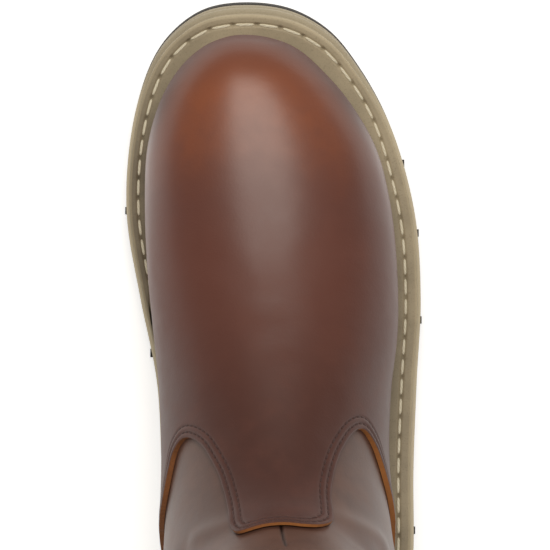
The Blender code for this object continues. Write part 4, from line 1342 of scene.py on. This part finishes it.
loop_share = np.linspace(0, 1, LOOP_STEPS)
outer_behind, outer_x, in_behind, in_x, width, stitch = welt_rows(loop_share)
loop_behind, loop_x = outer_behind + in_behind * stitch, outer_x + in_x * stitch
loop_path = bent(loop_x, loop_behind, STITCH_DEPTH)
pitches = TOE_PITCH + (STITCH_PITCH - TOE_PITCH) * smooth((loop_behind[1:] - 12.0) / 45.0)
loop_run = stitch_run(loop_path, pitches)


WELT_PROFILE = np.array([
    (kind, *row) for kind, rows in enumerate((WELT_SECTION, GROOVE_SECTION, FOOT_SECTION)) for row in rows
])


def welt_point(u, v):
    outer_behind, outer_x, in_behind, in_x, width, stitch = welt_rows(u)
    kind, off, depth = WELT_PROFILE[row_of(v, len(WELT_PROFILE))].T
    groove = np.maximum(stitch + off, 2.3 + 0.1 * off)
    inner = stitch + GROOVE_HALF + off * (width - stitch - GROOVE_HALF)
    inset = np.choose(kind.astype(int), (off, groove, inner))
    run = np.interp(u, loop_share, loop_run)
    hole = bell(np.abs(run - np.rint(run)) * STITCH_PITCH, HOLE_HALF) * bell(off, 0.7)
    hole = hole * (kind == 1) * (np.abs(off) < 1)
    # Painted shade at the foot of the leather, where it meets the welt.
    foot_shade = 0.7 * bell(width - inset, 0.8) * (kind == 2)
    # A painted highlight on the welt's rounded outer rim.
    rim_highlight = 0.35 * (kind == 0) * (off < 2.5) * (depth < 1.5)
    spots = bent(outer_x + in_x * inset, outer_behind + in_behind * inset, depth + HOLE_DEPTH * hole)
    return spots, np.maximum(HOLE_SHADE * hole, foot_shade) - rim_highlight


welt_bm = lay(WELT_STEPS, len(WELT_PROFILE), welt_point, "painted_light")
close_up(welt_bm)
add_piece("boot_welt", welt_bm, [WELT_RUBBER], "welt")

stitch_bm = stitch_mesh()
upward = loop_path - bent(loop_x, loop_behind, STITCH_DEPTH + 1.0)
print("welt stitches:", sew(stitch_bm, loop_path, upward, loop_run, STITCH_FILL, STITCH_WIDTH, 1.0))
add_piece("welt_stitches", stitch_bm, [CREAM_THREAD])

# %% [markdown]
# ## Layers of the sole
# Midsole, outsole and heel share the welt's outline. Each is a section of depths and insets carried from
# toe to heel on both sides at once. The lugs and the heel's grooves are cut with blocks that bend with the
# sole, as a mould maker would mill them, and a bevel rounds the cut edges.

# %% Layers of the sole
SOLE_STEPS, HEEL_STEPS = 168, 72
MOULD_RADIUS = 0.3
SHANK_START, SHANK_END, TOE_LUG = 138.0, 158.0, 2.5
HEEL_BREAST, HEEL_GROOVE, HEEL_GROOVES, HEEL_KEEL = 238.0, 5.0, (256.0, 273.0), 12.0
LUG_PITCH, LUG_GAP, LUG_SLANT, LUG_FIRST, LUG_ROWS = 16.0, 5.0, 10.0, 20.0, 8
CHANNEL, CHANNEL_WIDTH = 19.0, 4.0
SPUR, SPUR_LENGTH, SPUR_ROOT = 0.8, 3.0, 5.0
SPURS = {LATERAL: (63.0, 91.0, 126.0, 207.0), MEDIAL: (82.0, 138.0)}
HEEL_TOP, HEEL_FLOOR = OUTSOLE_FOOT + GAP, TREAD + PITCH
BEYOND = 90.0


def sole_layer(section, steps=SOLE_STEPS, fore=0.0, highlit_rows=0):
    """A layer of the sole; its section lists (depth, inset) from top to foot, numbers or functions of behind.

    The first rows, as many as the last argument says, are marked for a painted highlight."""
    count = len(section)

    def point(u, v):
        row = row_of(v, 2 * count)
        side = np.where(row < count, LATERAL, MEDIAL)
        row = np.where(row < count, row, 2 * count - 1 - row)
        station = fore + u * (OUTLINE_END - fore)
        flat = edge(side, station, 0.0)[0]
        depth, inset = (
            np.array([item(flat) if callable(item) else np.full_like(flat, item) for item in items])
            for items in zip(*section)
        )
        pick = np.arange(len(row))
        behind, x = edge(side, station, inset[row, pick])
        return bent(x, behind, depth[row, pick]), np.where(row < highlit_rows, -smooth((flat - 12.0) / 45.0), 0.0)

    bm = lay(steps, 2 * count, point, "painted_light")
    close_up(bm)
    return bm


def bent_block(bm, fore, aft, inner, outer, top, foot, skew=0.0, steps=1):
    """Adds a block of the flat sole, bent with it; inner and outer may follow the place behind the toe."""
    corners = np.array([(0, top, 0.0), (1, top, skew), (1, foot, skew), (0, foot, 0.0)])

    def point(u, v):
        far, depth, slide = corners[row_of(v, 4)].T
        behind = fore + u * (aft - fore)
        near_x, far_x = (item(behind) if callable(item) else item for item in (inner, outer))
        return bent(np.where(far > 0, far_x, near_x), behind + slide, depth)

    block = lay(steps, 4, point)
    close_up(block)
    mesh = as_mesh(block, "block")
    bm.from_mesh(mesh)
    bpy.data.meshes.remove(mesh)


def carved(bm, cuts):
    """The mesh after each (tool bmesh, operation) has been cut from it or joined to it."""
    made = [bm, *(tool for tool, _ in cuts)]
    objects = []
    for number, part in enumerate(made):
        mesh = as_mesh(part, f"carving_{number}")
        objects.append(bpy.data.objects.new(mesh.name, mesh))
        scene.collection.objects.link(objects[-1])
    for tool, (_, operation) in zip(objects[1:], cuts):
        modifier = objects[0].modifiers.new(tool.name, "BOOLEAN")
        modifier.operation = operation
        modifier.object = tool
    result = bmesh.new()
    result.from_object(objects[0], bpy.context.evaluated_depsgraph_get())
    for part in objects:
        mesh = part.data
        bpy.data.objects.remove(part)
        bpy.data.meshes.remove(mesh)
    return result


def soften(piece):
    bevel = piece.modifiers.new("mould_radius", "BEVEL")
    bevel.width = MOULD_RADIUS * MM
    bevel.segments = 2
    bevel.limit_method = "ANGLE"
    bevel.angle_limit = SHARP


# %% [markdown]
# ## Midsole
# The khaki layer under the welt has a rounded rim, and a groove runs round its side. Both are rows of its
# section, so nothing has to be cut afterwards. Its top rows carry a painted highlight that lightens the
# shaded ledge under the welt.

# %% Midsole
midsole_bm = sole_layer((
    (MIDSOLE_TOP, 1.0), (MIDSOLE_TOP + 0.25, 0.45), (MIDSOLE_TOP + 0.6, 0.12), (MIDSOLE_TOP + 1.0, 0.0),
    (MIDSOLE_TOP + 2.4, 0.0), (MIDSOLE_TOP + 2.7, 0.2), (MIDSOLE_TOP + 2.95, 0.6), (MIDSOLE_TOP + 3.25, 0.72),
    (MIDSOLE_TOP + 3.6, 0.5), (MIDSOLE_TOP + 3.9, 0.12), (MIDSOLE_TOP + 4.2, 0.0), (MIDSOLE_FOOT - 0.3, 0.02),
    (MIDSOLE_FOOT, 0.3),
), highlit_rows=3)
add_piece("boot_midsole", midsole_bm, [MIDSOLE_RUBBER], "midsole")

# %% [markdown]
# ## Outsole
# The dark rubber is thick under the forefoot and thin at the arch. Grooves and two channels cut it into
# lugs, and small spurs stand out from its side. A boolean cut keeps the walls of the lugs straight, as in a
# mould.

# %% Outsole
def tread_depth(behind):
    toe = np.maximum(0.0, 1 - behind / SPRING_END)
    shank = smooth((behind - SHANK_START) / (SHANK_END - SHANK_START))
    return OUTSOLE_FOOT + (LUG - (LUG - TOE_LUG) * toe) * (1 - shank)


def tread_inset(behind):
    return 0.6 + 2.6 * np.maximum(0.0, 1 - behind / SPRING_END) ** 2


def tread_grooves():
    bm = bmesh.new()
    foot = TREAD + 4.0
    inner = CHANNEL - CHANNEL_WIDTH / 2
    for number in range(LUG_ROWS):
        fore = LUG_FIRST + number * LUG_PITCH
        middle = float(sole_middle(fore))
        for side in (MEDIAL, LATERAL):
            bent_block(bm, fore, fore + LUG_GAP, middle + side * inner, side * BEYOND, OUTSOLE_FOOT, foot,
                       LUG_SLANT)
        if number < LUG_ROWS - 1:
            fore += LUG_PITCH / 2
            bent_block(bm, fore, fore + LUG_GAP, middle - inner, middle + inner, OUTSOLE_FOOT, foot)
    return bm


def tread_channels():
    bm = bmesh.new()
    fore, aft = LUG_FIRST - 3.0, LUG_FIRST + (LUG_ROWS - 1) * LUG_PITCH + LUG_GAP - 1.3
    for side in (MEDIAL, LATERAL):
        bent_block(bm, fore, aft, lambda behind: sole_middle(behind) + side * (CHANNEL - CHANNEL_WIDTH),
                   lambda behind: sole_middle(behind) + side * CHANNEL, OUTSOLE_FOOT + 0.4, TREAD + 3.5,
                   steps=24)
    return bm


def lug_spurs():
    bm = bmesh.new()
    for side, places in SPURS.items():
        for behind in places:
            x = float(SIDE_CURVES[side](outline_station(behind))[1])
            bent_block(bm, behind - SPUR_LENGTH / 2, behind + SPUR_LENGTH / 2, x - side * SPUR_ROOT,
                       x + side * SPUR, OUTSOLE_TOP + 1.0, OUTSOLE_FOOT - 0.5)
    return bm


outsole_bm = sole_layer((
    (OUTSOLE_TOP, 0.4), (OUTSOLE_TOP + 0.6, -0.1), (OUTSOLE_FOOT - 0.6, -0.1), (OUTSOLE_FOOT - 0.2, 0.4),
    (tread_depth, tread_inset),
))
outsole_bm = carved(outsole_bm, (
    (tread_grooves(), "DIFFERENCE"), (tread_channels(), "DIFFERENCE"), (lug_spurs(), "UNION"),
))
outsole = add_piece("boot_outsole", outsole_bm, [SOLE_RUBBER], "outsole")
soften(outsole)

# %% [markdown]
# ## Heel
# The heel is a block with a straight front, the breast, a groove round its side and slots in its foot. It
# is made as the other layers are, from the last rows of the outline only.

# %% Heel
def heel_grooves():
    bm = bmesh.new()
    for behind in HEEL_GROOVES:
        for side in (MEDIAL, LATERAL):
            inner = float(sole_middle(behind)) + side * HEEL_KEEL
            bent_block(bm, behind, behind + LUG_GAP, inner, side * BEYOND, HEEL_FLOOR - HEEL_GROOVE,
                       HEEL_FLOOR + 4.0)
    return bm


groove = (HEEL_TOP + HEEL_FLOOR) / 2
heel_bm = sole_layer((
    (HEEL_TOP, 0.8), (HEEL_TOP + 0.3, 0.3), (HEEL_TOP + 0.8, 0.1), (groove - 1.0, 0.3), (groove - 0.6, 1.0),
    (groove + 0.6, 1.0), (groove + 1.0, 0.4), (HEEL_FLOOR - 1.4, 0.9), (HEEL_FLOOR, 2.0),
), steps=HEEL_STEPS, fore=float(outline_station(HEEL_BREAST)))
heel_bm = carved(heel_bm, ((heel_grooves(), "DIFFERENCE"),))
heel = add_piece("boot_heel", heel_bm, [SOLE_RUBBER], "heel")
soften(heel)

# %% [markdown]
# ## Insole
# The insole is a plain plate whose solid is already right, so it keeps its mesh and only gets a finish.

# %% Insole
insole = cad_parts["insole"]
insole.data.materials.clear()
insole.data.materials.append(leather("insole_leather_finish", LINING_TONE, rough=0.75, coat=0.0))
print("insole finish:", insole.data.materials[0].name)
